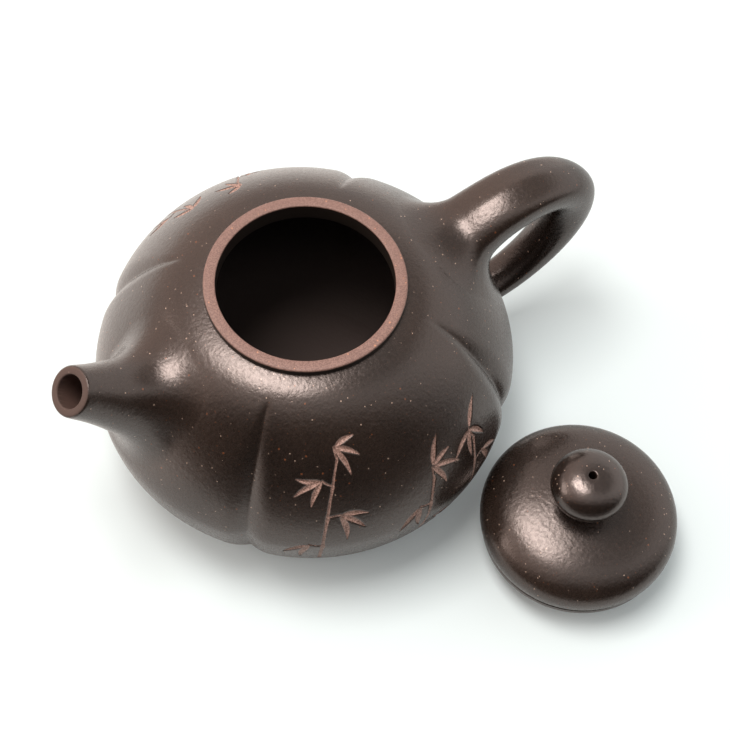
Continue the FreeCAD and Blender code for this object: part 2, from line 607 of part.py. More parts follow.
def build_lid_cover():
    """The cushion shaped cover: a rounded edge, a nearly flat crown and a hollow underneath."""
    body = new_body("lid_cover_body")
    sketch = new_sketch(body, "lid_cover_profile", "XZ_Plane")
    edge_x = value_of("Sizes.lid_cover_radius - Sizes.lid_edge_radius")
    edge_z = value_of(f"{COVER_BOTTOM} + Sizes.lid_edge_height")
    edge_radius = value_of("Sizes.lid_edge_radius")
    crown = value_of(COVER_CROWN)
    bottom = value_of(COVER_BOTTOM)
    # the crown is an arc centred on the axis that touches the edge arc from outside
    rise = crown - edge_z
    crown_radius = (edge_x ** 2 + rise ** 2 - edge_radius ** 2) / (2 * (rise - edge_radius))
    crown_centre = FreeCAD.Vector(0, crown - crown_radius, 0)
    edge_centre = FreeCAD.Vector(edge_x, edge_z, 0)
    touch = edge_centre + (edge_centre - crown_centre).normalize() * edge_radius
    drop = bottom - edge_z
    foot = FreeCAD.Vector(edge_x + (edge_radius ** 2 - drop ** 2) ** 0.5, bottom, 0)
    top = FreeCAD.Vector(0, crown, 0)
    recess = value_of(RECESS_RADIUS)
    step = bottom + value_of("Sizes.lid_recess_step")
    ceiling = crown - value_of("Sizes.lid_cover_wall")
    vault = ceiling - step
    vault_radius = (recess ** 2 + vault ** 2) / (2 * vault)
    normal = FreeCAD.Vector(0, 0, 1)

    edge_circle = Part.Circle(edge_centre, normal, edge_radius)
    crown_circle = Part.Circle(crown_centre, normal, crown_radius)
    vault_circle = Part.Circle(FreeCAD.Vector(0, ceiling - vault_radius, 0), normal, vault_radius)
    corner = FreeCAD.Vector(recess, step, 0)
    peak = FreeCAD.Vector(0, ceiling, 0)
    sketch.addGeometry([
        Part.ArcOfCircle(edge_circle, edge_circle.parameter(foot), edge_circle.parameter(touch)),
        Part.ArcOfCircle(crown_circle, crown_circle.parameter(touch), crown_circle.parameter(top)),
        Part.LineSegment(top, peak),
        Part.ArcOfCircle(vault_circle, vault_circle.parameter(corner), vault_circle.parameter(peak)),
        Part.LineSegment(corner, FreeCAD.Vector(recess, bottom, 0)),
        Part.LineSegment(FreeCAD.Vector(recess, bottom, 0), foot),
    ])
    EDGE, CROWN, AXIS, VAULT, STEP, FLOOR = range(6)
    start, end, centre = 1, 2, 3
    add = sketch.addConstraint
    add(Sketcher.Constraint("Tangent", EDGE, end, CROWN, start))
    add(Sketcher.Constraint("Coincident", CROWN, end, AXIS, start))
    add(Sketcher.Constraint("Coincident", AXIS, end, VAULT, end))
    add(Sketcher.Constraint("Coincident", VAULT, start, STEP, start))
    add(Sketcher.Constraint("Coincident", STEP, end, FLOOR, start))
    add(Sketcher.Constraint("Coincident", FLOOR, end, EDGE, start))
    add(Sketcher.Constraint("PointOnObject", AXIS, start, AXIS_NUMBER["Y"]))
    add(Sketcher.Constraint("PointOnObject", AXIS, end, AXIS_NUMBER["Y"]))
    add(Sketcher.Constraint("PointOnObject", CROWN, centre, AXIS_NUMBER["Y"]))
    add(Sketcher.Constraint("PointOnObject", VAULT, centre, AXIS_NUMBER["Y"]))
    add(Sketcher.Constraint("Vertical", STEP))
    add(Sketcher.Constraint("Horizontal", FLOOR))
    bind(sketch, Sketcher.Constraint("Radius", EDGE, edge_radius), "edge_radius",
         "Sizes.lid_edge_radius")
    bind(sketch, Sketcher.Constraint("DistanceX", *ORIGIN_POINT, EDGE, centre, edge_x), "edge_x",
         "Sizes.lid_cover_radius - Sizes.lid_edge_radius")
    bind(sketch, Sketcher.Constraint("DistanceY", *ORIGIN_POINT, EDGE, centre, edge_z), "edge_z",
         f"{COVER_BOTTOM} + Sizes.lid_edge_height")
    bind(sketch, Sketcher.Constraint("DistanceY", *ORIGIN_POINT, AXIS, start, crown), "crown",
         COVER_CROWN)
    bind(sketch, Sketcher.Constraint("DistanceY", *ORIGIN_POINT, AXIS, end, ceiling), "ceiling",
         f"{COVER_CROWN} - Sizes.lid_cover_wall")
    bind(sketch, Sketcher.Constraint("DistanceX", *ORIGIN_POINT, STEP, start, recess), "recess",
         RECESS_RADIUS)
    bind(sketch, Sketcher.Constraint("DistanceY", *ORIGIN_POINT, STEP, start, step), "step",
         f"{COVER_BOTTOM} + Sizes.lid_recess_step")
    bind(sketch, Sketcher.Constraint("DistanceY", *ORIGIN_POINT, STEP, end, bottom), "bottom",
         COVER_BOTTOM)
    turn = body.newObject("PartDesign::Revolution", "lid_cover_turn")
    turn.Profile = sketch
    turn.ReferenceAxis = (sketch, ["V_Axis"])
    turn.Angle = 360.0
    return set_down(body)


def build_knob(cover):
    """A flattened ball on a waisted neck that is fitted to the crown of the cover."""
    ball = doc.addObject("Part::Ellipsoid", "knob_ball")
    ball.setExpression("Radius1", "Sizes.knob_half_height * 1 mm")
    ball.setExpression("Radius2", "Sizes.knob_radius * 1 mm")
    move_to(ball, LID_X, LID_Y, KNOB_CENTRE)
    neck_bottom = f"({COVER_CROWN} - Sizes.lid_cover_wall / 2)"
    neck_top = f"({COVER_CROWN} + Sizes.knob_neck_height + Sizes.knob_sink)"
    neck = set_down(revolved("knob_neck", [
        ("0", neck_bottom),
        ("Sizes.knob_base_radius", neck_bottom),
        ("Sizes.knob_base_radius", COVER_CROWN),
        ("Sizes.knob_neck_radius", neck_top),
        ("0", neck_top),
    ], arcs=[(2, "-0.9")]))
    whole = doc.addObject("Part::MultiFuse", "knob_whole")
    whole.Shapes = [ball, neck]
    return cut("knob_cut", whole, cover, vent_hole)


vent_hole = cylinder("vent_hole", "Sizes.vent_radius", "0", f"({KNOB_TOP} + {CUT_MARGIN})",
                     LID_X, LID_Y)
cover_blank = build_lid_cover()
lid_cover = finish(cut("lid_cover_cut", cover_blank, vent_hole), "lid_cover")
knob = finish(build_knob(cover_blank), "knob")


# ---------------------------------------------------------------------------------------------
# Checks and export
# ---------------------------------------------------------------------------------------------

PIECES = [body_shell, base_disc, foot_ring, mouth_collar, spout, strainer, handle,
          lid_cover, lid_seat_ring, lid_flange, knob]


def check_and_export():
    doc.recompute()
    for item in doc.Objects:
        if "Invalid" in item.State or "Error" in item.State:
            raise RuntimeError(f"{item.Label} failed: {item.State}")
    for piece in PIECES:
        shape = piece.Shape
        if shape.isNull() or not shape.isValid() or len(shape.Solids) != 1:
            raise RuntimeError(f"{piece.Label} is not one valid solid")
    os.makedirs("parts", exist_ok=True)
    for piece in PIECES:
        piece.Shape.exportStep(f"parts/{piece.Label}.step")
        print(f"{piece.Label}: {piece.Shape.Volume / 1000:.2f} cm3")


check_and_export()
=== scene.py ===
"""Looks of a squat dark clay teapot whose lid lies beside it.

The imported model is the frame.  Every part but the strainer, which stays as packed, is a turned
blank that is shaped into its real form, dressed in procedural clay and set to ride on its body.
Lengths are metres, and sizes written in millimetres are multiplied by MM.  The carving and the
finishes are laid out in plain millimetres.
"""

import logging
import math
from collections.abc import Callable, Sequence
from dataclasses import dataclass, field
from enum import Enum

import bmesh
import bpy
from mathutils import Matrix, Vector


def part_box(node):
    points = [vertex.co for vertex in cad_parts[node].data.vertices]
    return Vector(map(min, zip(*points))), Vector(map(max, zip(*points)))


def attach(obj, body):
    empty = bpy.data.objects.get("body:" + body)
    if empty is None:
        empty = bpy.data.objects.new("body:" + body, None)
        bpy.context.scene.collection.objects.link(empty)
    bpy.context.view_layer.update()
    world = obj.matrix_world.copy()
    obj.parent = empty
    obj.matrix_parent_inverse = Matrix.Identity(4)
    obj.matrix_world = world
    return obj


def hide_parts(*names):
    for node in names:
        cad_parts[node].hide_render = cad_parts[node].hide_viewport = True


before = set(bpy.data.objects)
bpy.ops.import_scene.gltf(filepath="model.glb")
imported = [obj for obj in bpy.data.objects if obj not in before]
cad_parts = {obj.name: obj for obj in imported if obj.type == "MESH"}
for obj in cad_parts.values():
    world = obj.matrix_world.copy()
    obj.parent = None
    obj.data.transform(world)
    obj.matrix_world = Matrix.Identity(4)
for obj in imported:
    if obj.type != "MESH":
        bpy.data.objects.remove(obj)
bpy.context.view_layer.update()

Shape = bmesh.types.BMesh
Socket = bpy.types.NodeSocket
Material = bpy.types.Material
Colour = tuple[float, float, float, float]

MM = 0.001
QUARTER = math.pi / 2.0
EIGHTH = math.pi / 4.0
UP = Vector((0.0, 0.0, 1.0))
SIDE = Vector((0.0, 1.0, 0.0))
ORIGIN = Vector((0.0, 0.0, 0.0))
MERGE_DISTANCE = 1e-7
SLIVER_LENGTH = 1e-8
ROUNDING_STEPS = 5
SMALLEST_GRAIN = 0.35
WHITE: Colour = (1.0, 1.0, 1.0, 1.0)
ORANGE: Colour = (0.30, 0.105, 0.045, 1.0)
PALE: Colour = (0.64, 0.47, 0.37, 1.0)
log = logging.getLogger("teapot")


# ---- Small tools for shaping ----

def ease(low: float, high: float, value: float) -> float:
    """Climbs smoothly from 0 at low to 1 at high."""
    share = min(max((value - low) / (high - low), 0.0), 1.0)
    return share * share * (3.0 - 2.0 * share)


def mix(first: float, second: float, share: float) -> float:
    """The value that lies a share of the way from first to second."""
    return first + (second - first) * share


def shares(count: int, first: int = 0) -> list[float]:
    """Even shares of a whole, from first / count to 1."""
    return [step / count for step in range(first, count + 1)]


def unit(vector: Vector) -> Vector:
    """A copy of the vector, one long."""
    return vector.normalized()


def angle_of(spot: Vector) -> float:
    """The angle at which a spot lies about the upright axis."""
    return math.atan2(spot.y, spot.x)


def from_crease(angle: float) -> float:
    """The angle from the nearest crease, which all lie on the diagonals."""
    turn = (angle - EIGHTH) % QUARTER
    return min(turn, QUARTER - turn)


def on_outline(radius: float, height: float) -> Vector:
    """A point of an outline in the XZ plane."""
    return Vector((radius, 0.0, height))


def about_axis(radius: float, angle: float, height: float) -> Vector:
    """A point at a radius, an angle and a height about the upright axis."""
    return Vector((radius * math.cos(angle), radius * math.sin(angle), height))


def node_span(node: str) -> tuple[Vector, Vector, Vector]:
    """Lowest corner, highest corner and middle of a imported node."""
    low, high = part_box(node)
    return low, high, (low + high) / 2.0


def turned_blank(stations: Sequence[float], steps: int, closed: bool) -> Shape:
    """Spins a plain chain of points into a tube whose points remember their place on the chain.

    Args:
        stations: a number for each point of the chain, kept in the layer "station".
        steps: how many points go round the tube.
        closed: whether the chain's last point joins its first.

    Returns:
        A tube of radius 1 about the Z axis, to be shaped by `place_points`.
    """
    blank = bmesh.new()
    layer = blank.verts.layers.float.new("station")
    chain = []
    for row, station in enumerate(stations):
        point = blank.verts.new((1.0, 0.0, float(row)))
        point[layer] = station
        chain.append(point)
    for before, after in zip(chain, chain[1:]):
        blank.edges.new((before, after))
    if closed:
        blank.edges.new((chain[-1], chain[0]))
    bmesh.ops.spin(blank, geom=blank.verts[:] + blank.edges[:], cent=ORIGIN, axis=UP,
                   angle=math.tau, steps=steps, use_merge=True, use_duplicate=False)
    return blank


def place_points(blank: Shape, place: Callable[[float, float], Vector]) -> None:
    """Moves every point of a blank to where its station and its angle belong.

    Poles and seams are then merged, and all faces turned outwards.
    """
    layer = blank.verts.layers.float["station"]
    for point in blank.verts:
        point.co = place(point[layer], angle_of(point.co))
    bmesh.ops.remove_doubles(blank, verts=blank.verts[:], dist=MERGE_DISTANCE)
    bmesh.ops.dissolve_degenerate(blank, edges=blank.edges[:], dist=SLIVER_LENGTH)
    bmesh.ops.recalc_face_normals(blank, faces=blank.faces[:])


def shaped_blank(rows: int, steps: int, closed: bool,
                 place: Callable[[float, float], Vector]) -> Shape:
    """A blank with a number for each row's station, its points already in place."""
    blank = turned_blank([float(number) for number in range(rows)], steps, closed)
    place_points(blank, place)
    return blank


def tube_through(rings: Sequence[Sequence[Vector]], closed: bool) -> Shape:
    """A tube that runs through rings of points.

    Args:
        rings: each ring's points, as many in every ring.
        closed: whether the last ring joins the first, as where an outside turns into a bore.

    Returns:
        The shaped tube, its poles merged and its faces outwards.
    """
    steps = len(rings[0])

    def place(station: float, angle: float) -> Vector:
        """The point of the ring that this station and angle stand for."""
        return rings[round(station)][round(angle / math.tau * steps) % steps]

    return shaped_blank(len(rings), steps, closed, place)


def turned(points: Sequence[Vector], steps: int, closed: bool = True,
           centre: Vector = ORIGIN) -> Shape:
    """Turns an outline in the XZ plane about an upright axis through the centre."""

    def place(station: float, angle: float) -> Vector:
        """The outline's point, swung round by the angle."""
        point = points[round(station)]
        return centre + about_axis(point.x, angle, point.z)

    return shaped_blank(len(points), steps, closed, place)


@dataclass(frozen=True)
class Corner:
    """A corner of an outline that is turned about an axis, with its rounding."""

    radius: float
    height: float
    rounding: float = 0.0

    def point(self) -> Vector:
        """The corner itself, before it is rounded."""
        return on_outline(self.radius, self.height)


def rounded_outline(corners: Sequence[Corner]) -> list[Vector]:
    """A closed outline in the XZ plane through corners, each rounded by an arc."""
    points = []
    for number, corner in enumerate(corners):
        here = corner.point()
        if corner.rounding == 0.0:
            points.append(here)
            continue
        back = unit(corners[number - 1].point() - here)
        ahead = unit(corners[(number + 1) % len(corners)].point() - here)
        half = back.angle(ahead) / 2.0
        reach = corner.rounding / math.tan(half)
        centre = here + unit(back + ahead) * (corner.rounding / math.sin(half))
        first = here + back * reach - centre
        final = here + ahead * reach - centre
        points += [centre + unit(first.slerp(final, share)) * corner.rounding
                   for share in shares(ROUNDING_STEPS)]
    return points


def into_scene(name: str, shape: Shape) -> bpy.types.Object:
    """Puts a finished shape into the scene as an object, and frees the shape."""
    mesh = bpy.data.meshes.new(name)
    shape.to_mesh(mesh)
    shape.free()
    thing = bpy.data.objects.new(name, mesh)
    bpy.context.scene.collection.objects.link(thing)
    return thing


# ---- Finishes ----

@dataclass(frozen=True)
class Mottle:
    """Soft noise, `scale` bumps to the millimetre, with low..high of it mapped to first..last."""

    scale: float
    detail: float
    low: float
    high: float
    first: float = 0.0
    last: float = 1.0


@dataclass(frozen=True)
class Grains:
    """Grains of one sort, scattered through the clay.

    The spacing runs from grain to grain and the size from a grain's middle to its edge, both
    in millimetres.  The share says how many of the places hold a grain, and the strength how
    much of the clay's own colour a grain covers.
    """

    spacing: float
    size: float
    share: float
    strength: float
    colour: Colour


class NodeSheet:
    """The node tree of a material or a world, with short calls for the nodes it needs."""

    def __init__(self, owner: Material | bpy.types.World, shader: str) -> None:
        """Starts a tree that holds only its output and its shader."""
        owner.use_nodes = True
        self.owner = owner
        self.tree = owner.node_tree
        self.shader = self.tree.nodes[shader]

    def add(self, kind: str, inputs: dict[str | int, object], **settings: object) -> bpy.types.Node:
        """Adds a node, with its settings and its inputs, each a value or a socket."""
        node = self.tree.nodes.new(kind)
        for key, value in settings.items():
            setattr(node, key, value)
        for key, value in inputs.items():
            if isinstance(value, Socket):
                self.tree.links.new(value, node.inputs[key])
            else:
                node.inputs[key].default_value = value
        return node

    def link(self, value: Socket, socket: str) -> None:
        """Feeds a socket of the shader."""
        self.tree.links.new(value, self.shader.inputs[socket])

    def millimetres(self) -> Socket:
        """Object coordinates counted in millimetres."""
        where = self.add("ShaderNodeTexCoord", {}).outputs["Object"]
        return self.add("ShaderNodeVectorMath", {0: where, "Scale": 1.0 / MM},
                        operation="SCALE").outputs["Vector"]

    def mark(self, name: str) -> Socket:
        """A mark that a shape's points carry."""
        return self.add("ShaderNodeAttribute", {}, attribute_name=name).outputs["Fac"]

    def toward(self, where: Socket, direction: Sequence[float]) -> Socket:
        """How far a place lies along a direction."""
        return self.add("ShaderNodeVectorMath", {0: where, 1: direction},
                        operation="DOT_PRODUCT").outputs["Value"]

    def ramp(self, value: Socket, low: float, high: float,
             first: float = 0.0, last: float = 1.0) -> Socket:
        """Maps low..high of a value to first..last and holds it there."""
        return self.add("ShaderNodeMapRange", {"Value": value, "From Min": low, "From Max": high,
                                               "To Min": first, "To Max": last},
                        interpolation_type="SMOOTHSTEP").outputs["Result"]

    def maths(self, operation: str, first: object, second: object) -> Socket:
        """One sum of two numbers."""
        return self.add("ShaderNodeMath", {0: first, 1: second},
                        operation=operation).outputs["Value"]

    def blend(self, share: object, first: object, second: object) -> Socket:
        """Mixes two colours."""
        return self.add("ShaderNodeMix", {0: share, 6: first, 7: second},
                        data_type="RGBA").outputs[2]

    def noise(self, where: Socket, scale: float, detail: float) -> Socket:
        """Soft noise, `scale` bumps to the millimetre."""
        return self.add("ShaderNodeTexNoise", {"Vector": where, "Scale": scale,
                                               "Detail": detail}).outputs["Fac"]

    def mottled(self, where: Socket, mottle: Mottle) -> Socket:
        """A level that wanders as the mottle says."""
        return self.ramp(self.noise(where, mottle.scale, mottle.detail),
                         mottle.low, mottle.high, mottle.first, mottle.last)

    def sprinkled(self, colour: Socket, where: Socket, grains: Grains) -> Socket:
        """Scatters grains of one sort through a colour."""
        cells = self.add("ShaderNodeTexVoronoi", {"Vector": where, "Scale": 1.0 / grains.spacing})
        chance = self.add("ShaderNodeSeparateColor", {0: cells.outputs["Color"]})
        chosen = self.maths("LESS_THAN", chance.outputs[0], grains.share)
        reach = self.maths("MULTIPLY", self.ramp(chance.outputs[1], 0.0, 1.0, SMALLEST_GRAIN, 1.0),
                           grains.size / grains.spacing)
        near = self.maths("LESS_THAN", cells.outputs["Distance"], reach)
        mask = self.maths("MULTIPLY", near, chosen)
        return self.blend(self.maths("MULTIPLY", mask, grains.strength), colour, grains.colour)

    def roughen(self, where: Socket, layers: Sequence[tuple[float, float, float]]) -> None:
        """Gives the surface fine relief.

        Args:
            where: the coordinates in millimetres.
            layers: each layer's bumps to the millimetre, detail and height in millimetres.
        """
        total = None
        for scale, detail, height in layers:
            relief = self.maths("MULTIPLY", self.noise(where, scale, detail), height)
            total = relief if total is None else self.maths("ADD", total, relief)
        bump = self.add("ShaderNodeBump", {"Strength": 1.0, "Distance": MM, "Height": total})
        self.link(bump.outputs["Normal"], "Normal")


def surface(name: str) -> NodeSheet:
    """Starts a material."""
    return NodeSheet(bpy.data.materials.new(name), "Principled BSDF")


@dataclass(frozen=True)
class ClayFinish:
    """Unglazed clay, rubbed to a soft sheen, with grains and fine hammer-like unevenness.

    The marks "carved", "inner" and "raw" on a shape's points say where the clay is cut, where
    it is the pot's inside, coloured nearly black as painted shade and left matt, and where it
    was never rubbed.
    """

    name: str
    dark: Colour = (0.0100, 0.0070, 0.0057, 1.0)
    light: Colour = (0.0310, 0.0200, 0.0150, 1.0)
    carved: Colour = (0.52, 0.335, 0.275, 1.0)
    carved_deep: Colour = (0.17, 0.090, 0.068, 1.0)
    # Painted shade: the inside colour is darker than the clay and stands in for the shade within
    # the pot.
    inner: Colour = (0.008, 0.0050, 0.0045, 1.0)
    raw: Colour = (0.13, 0.075, 0.060, 1.0)
    cloud: Mottle = Mottle(0.045, 3.0, 0.35, 0.65, 0.0, 0.5)
    fleck: Mottle = Mottle(2.4, 4.0, 0.3, 0.7, 0.0, 0.5)
    cut_fleck: Mottle = Mottle(3.2, 3.0, 0.35, 0.62)
    grains: tuple[Grains, ...] = (Grains(1.9, 0.22, 0.36, 0.6, ORANGE),
                                  Grains(0.8, 0.11, 0.45, 0.35, ORANGE),
                                  Grains(1.3, 0.15, 0.62, 0.8, PALE))
    cut_edge: tuple[float, float] = (0.12, 0.45)
    sheen_level: float = 0.95
    sheen_tint: Colour = (1.0, 0.87, 0.82, 1.0)
    rub: Mottle = Mottle(1.4, 2.0, 0.3, 0.7, 0.23, 0.30)
    cut_roughness: float = 0.3
    matt_roughness: float = 0.75
    matt_from_raw: float = 0.3
    relief: tuple[tuple[float, float, float], ...] = ((2.3, 3.0, 0.026), (1.0, 1.0, 0.042))

    def make(self) -> Material:
        """Builds the material."""
        sheet = surface(self.name)
        sheet.shader.inputs["Specular IOR Level"].default_value = self.sheen_level
        sheet.shader.inputs["Specular Tint"].default_value = self.sheen_tint
        where = sheet.millimetres()
        share = sheet.maths("ADD", sheet.mottled(where, self.cloud),
                            sheet.mottled(where, self.fleck))
        colour = sheet.blend(share, self.dark, self.light)
        for grains in self.grains:
            colour = sheet.sprinkled(colour, where, grains)
        cut = sheet.ramp(sheet.mark("carved"), *self.cut_edge)
        cut_colour = sheet.blend(sheet.mottled(where, self.cut_fleck), self.carved_deep,
                                 self.carved)
        colour = sheet.blend(cut, colour, cut_colour)
        # Painted shade: the inside mark darkens the colour to the inside colour; the raw mark
        # lightens it again.
        inner, raw = sheet.mark("inner"), sheet.mark("raw")
        colour = sheet.blend(inner, colour, self.inner)
        sheet.link(sheet.blend(raw, colour, self.raw), "Base Color")
        rough = sheet.maths("ADD", sheet.mottled(where, self.rub),
                            sheet.maths("MULTIPLY", cut, self.cut_roughness))
        matt = sheet.maths("MAXIMUM", inner, sheet.ramp(raw, 0.0, self.matt_from_raw))
        unrubbed = sheet.maths("MULTIPLY", matt, self.matt_roughness)
        sheet.link(sheet.maths("MAXIMUM", rough, unrubbed), "Roughness")
        sheet.roughen(where, self.relief)
        return sheet.owner


@dataclass(frozen=True)
class GroundRimFinish:
    """The mouth ring: its top ground to a coppery face, its sides left as dark clay.

    Depths are millimetres, and the edge between face and sides wanders by `edge_wander`.
    """

    name: str
    face_height: float
    ground_below: float = 0.32
    ground_above: float = 0.02
    edge_wander: float = 0.25
    edge_scale: float = 0.9
    edge_detail: float = 3.0
    copper: Colour = (0.30, 0.180, 0.148, 1.0)
    copper_dark: Colour = (0.19, 0.107, 0.086, 1.0)
    side: Colour = (0.020, 0.015, 0.012, 1.0)
    fleck: Mottle = Mottle(3.5, 4.0, 0.35, 0.65)
    grains: Grains = Grains(1.1, 0.22, 0.5, 0.7, (0.70, 0.33, 0.18, 1.0))
    side_roughness: float = 0.42
    face_roughness: float = 0.5
    relief: tuple[tuple[float, float, float], ...] = ((4.0, 3.0, 0.004),)

    def make(self) -> Material:
        """Builds the material."""
        sheet = surface(self.name)
        where = sheet.millimetres()
        upward = sheet.add("ShaderNodeSeparateXYZ", {0: where}).outputs["Z"]
        wander = sheet.noise(where, self.edge_scale, self.edge_detail)
        height = sheet.maths("ADD", upward, sheet.maths("MULTIPLY", wander, self.edge_wander))
        top = self.face_height / MM
        ground = sheet.ramp(height, top - self.ground_below, top + self.ground_above)
        colour = sheet.blend(sheet.mottled(where, self.fleck), self.copper_dark, self.copper)
        colour = sheet.sprinkled(colour, where, self.grains)
        sheet.link(sheet.blend(ground, self.side, colour), "Base Color")
        sheet.link(sheet.ramp(ground, 0.0, 1.0, self.side_roughness, self.face_roughness),
                   "Roughness")
        sheet.roughen(where, self.relief)
        return sheet.owner


@dataclass(frozen=True)
class FloorFinish:
    """A plain pale floor that is white where it is lit and keeps a cool shadow.

    The camera sees it a little lifted, and more so far from the pot.  Towards the front it is
    dim, so that it throws little light on the pot, and behind the pot it glows warm, seen only
    in the clay's reflections as a painted reflection.
    Distances are millimetres.
    """

    name: str
    colour: Colour = (0.70, 0.785, 0.80, 1.0)
    camera_colour: Colour = (0.78, 0.90, 0.92, 1.0)
    dim_colour: Colour = (0.10, 0.11, 0.115, 1.0)
    dim_toward: tuple[float, float, float] = (-0.35, -0.94, 0.0)
    dim_from: float = 85.0
    dim_to: float = 170.0
    camera_lift: float = 0.08
    far_lift: float = 0.95
    rim_from: float = 280.0
    rim_to: float = 800.0
    rim_lift: float = 0.65
    mirror_toward: tuple[float, float, float] = (0.42, -0.91, 0.0)
    mirror_from: float = -70.0
    mirror_to: float = 0.0
    mirror_lift: float = 0.55
    mirror_rest: float = 0.03
    mirror_colour: Colour = (1.0, 0.80, 0.70, 1.0)
    roughness: float = 0.9
    sheen_level: float = 0.2

    def make(self) -> Material:
        """Builds the material."""
        sheet = surface(self.name)
        sheet.shader.inputs["Roughness"].default_value = self.roughness
        sheet.shader.inputs["Specular IOR Level"].default_value = self.sheen_level
        where = sheet.millimetres()
        rays = sheet.add("ShaderNodeLightPath", {}).outputs
        far = sheet.ramp(sheet.toward(where, self.dim_toward), self.dim_from, self.dim_to)
        near = sheet.blend(rays["Is Camera Ray"], self.colour, self.camera_colour)
        sheet.link(sheet.blend(far, near, self.dim_colour), "Base Color")
        distance = sheet.add("ShaderNodeVectorMath", {0: where}, operation="LENGTH")
        lift = sheet.maths("MAXIMUM",
                           sheet.ramp(far, 0.0, 1.0, self.camera_lift, self.far_lift),
                           sheet.ramp(distance.outputs["Value"], self.rim_from, self.rim_to,
                                      0.0, self.rim_lift))
        seen = sheet.maths("MULTIPLY", rays["Is Camera Ray"], lift)
        # Painted reflection: behind the pot the floor glows warm to glossy rays only.
        behind = sheet.ramp(sheet.toward(where, self.mirror_toward), self.mirror_from,
                            self.mirror_to, self.mirror_lift, self.mirror_rest)
        mirrored = sheet.maths("MULTIPLY", rays["Is Glossy Ray"], behind)
        sheet.link(sheet.blend(rays["Is Glossy Ray"], WHITE, self.mirror_colour),
                   "Emission Color")
        sheet.link(sheet.maths("ADD", seen, mirrored), "Emission Strength")
        return sheet.owner


@dataclass(frozen=True)
class Dressing:
    """What a finished piece rides on, is made of and stands for."""

    body: str
    slot: str
    finish: Material
    stands_for: tuple[str, ...]


def make_piece(name: str, shape: Shape, dressing: Dressing) -> bpy.types.Object:
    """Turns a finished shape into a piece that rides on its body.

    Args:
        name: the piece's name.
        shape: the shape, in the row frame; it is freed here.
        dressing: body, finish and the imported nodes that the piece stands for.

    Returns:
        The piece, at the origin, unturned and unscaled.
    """
    piece = into_scene(name, shape)
    for polygon in piece.data.polygons:
        polygon.use_smooth = True
    piece.data.materials.append(dressing.finish)
    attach(piece, dressing.body)
    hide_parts(*dressing.stands_for)
    log.info("%s: %d faces on body %s", name, len(piece.data.polygons), dressing.body)
    return piece


# ---- The carved bamboo, in plain millimetres ----

class StrokeKind(Enum):
    """How a cut's width runs along it."""

    LEAF = "leaf"
    STEM = "stem"


@dataclass(frozen=True)
class Stroke:
    """One cut of the knife on the unrolled wall, in millimetres right and up."""

    kind: StrokeKind
    start: Vector
    end: Vector
    bow: float
    width: float
    path_steps = 8
    leaf_lean = 0.7
    leaf_fullness = 0.85
    stem_swell = 0.5
    least_half = 0.05

    def path(self) -> list[Vector]:
        """Points along the cut's middle line."""
        run = self.end - self.start
        aside = Vector((-run.y, run.x)) * self.bow
        return [self.start + run * share + aside * math.sin(math.pi * share)
                for share in shares(self.path_steps)]

    def half_width(self, share: float) -> float:
        """Half the cut's width at a share of its length."""
        if self.kind is StrokeKind.LEAF:
            lean = min(max(share, 0.0), 1.0) ** self.leaf_lean
            return self.width / 2.0 * math.sin(math.pi * lean) ** self.leaf_fullness
        return self.width / 2.0 * (1.0 + self.stem_swell * abs(2.0 * share - 1.0) ** 6)

    def cut_at(self, spot: Vector, path: Sequence[Vector]) -> float:
        """How deep the cut is at a spot, as a share of its full depth; below 0 off the cut."""
        nearest = (math.inf, 0.0)
        steps = len(path) - 1
        for number in range(steps):
            run = path[number + 1] - path[number]
            along = min(max((spot - path[number]).dot(run) / run.length_squared, 0.0), 1.0)
            away = (spot - (path[number] + run * along)).length
            if away < nearest[0]:
                nearest = (away, (number + along) / steps)
        away, share = nearest
        return 1.0 - away / max(self.half_width(share), self.least_half)


@dataclass(frozen=True)
class BambooStem:
    """A jointed stem with drooping leaves, drawn on the unrolled wall.

    Each leaf group names its joint, the angle of its twig and the angles of its leaves, in
    degrees from the wall's right.
    """

    foot: tuple[float, float]
    lean: float
    joints: tuple[float, ...]
    leaf_groups: tuple[tuple[int, float, tuple[float, ...]], ...]
    stem_width = 0.75
    stem_bow = 0.015
    joint_taper = 0.08
    joint_gap = 0.5
    joint_turn = math.radians(3.5)
    twig_length = 2.6
    twig_width = 0.45
    twig_bow = 0.06
    leaf_length = 7.4
    leaf_width = 1.5
    leaf_bow = 0.07
    leaf_gap = 0.35
    leaf_shrink = 0.11

    def strokes(self) -> list[Stroke]:
        """All cuts of the stem and its leaves."""
        cuts = []
        heading = math.radians(self.lean)
        here = Vector(self.foot)
        tips = [here.copy()]
        for number, length in enumerate(self.joints):
            ahead = Vector((math.sin(heading), math.cos(heading)))
            tip = here + ahead * length
            cuts.append(Stroke(StrokeKind.STEM, here, tip - ahead * self.joint_gap, self.stem_bow,
                               self.stem_width * (1.0 - self.joint_taper * number)))
            here = tip
            tips.append(tip.copy())
            heading += self.joint_turn
        for joint, twig, fan in self.leaf_groups:
            root = tips[joint]
            hold = root + self.heading(twig) * self.twig_length
            cuts.append(Stroke(StrokeKind.STEM, root, hold, self.twig_bow, self.twig_width))
            for number, droop in enumerate(fan):
                ahead = self.heading(droop)
                length = self.leaf_length * (1.0 - self.leaf_shrink * (number % 3))
                bow = self.leaf_bow if droop > -90.0 else -self.leaf_bow
                cuts.append(Stroke(StrokeKind.LEAF, hold + ahead * self.leaf_gap,
                                   hold + ahead * length, bow, self.leaf_width))
        return cuts

    @staticmethod
    def heading(degrees: float) -> Vector:
        """A direction on the unrolled wall."""
        return Vector((math.cos(math.radians(degrees)), math.sin(math.radians(degrees))))


@dataclass(frozen=True)
class CarvedPanel:
    """Bamboo cut into one lobe of the wall."""

    bearing: float
    stems: tuple[BambooStem, ...]
    unroll_radius = 42.0

    def strokes(self) -> list[Stroke]:
        """All cuts of the panel."""
        return [cut for stem in self.stems for cut in stem.strokes()]


# ---- The pot's wall ----

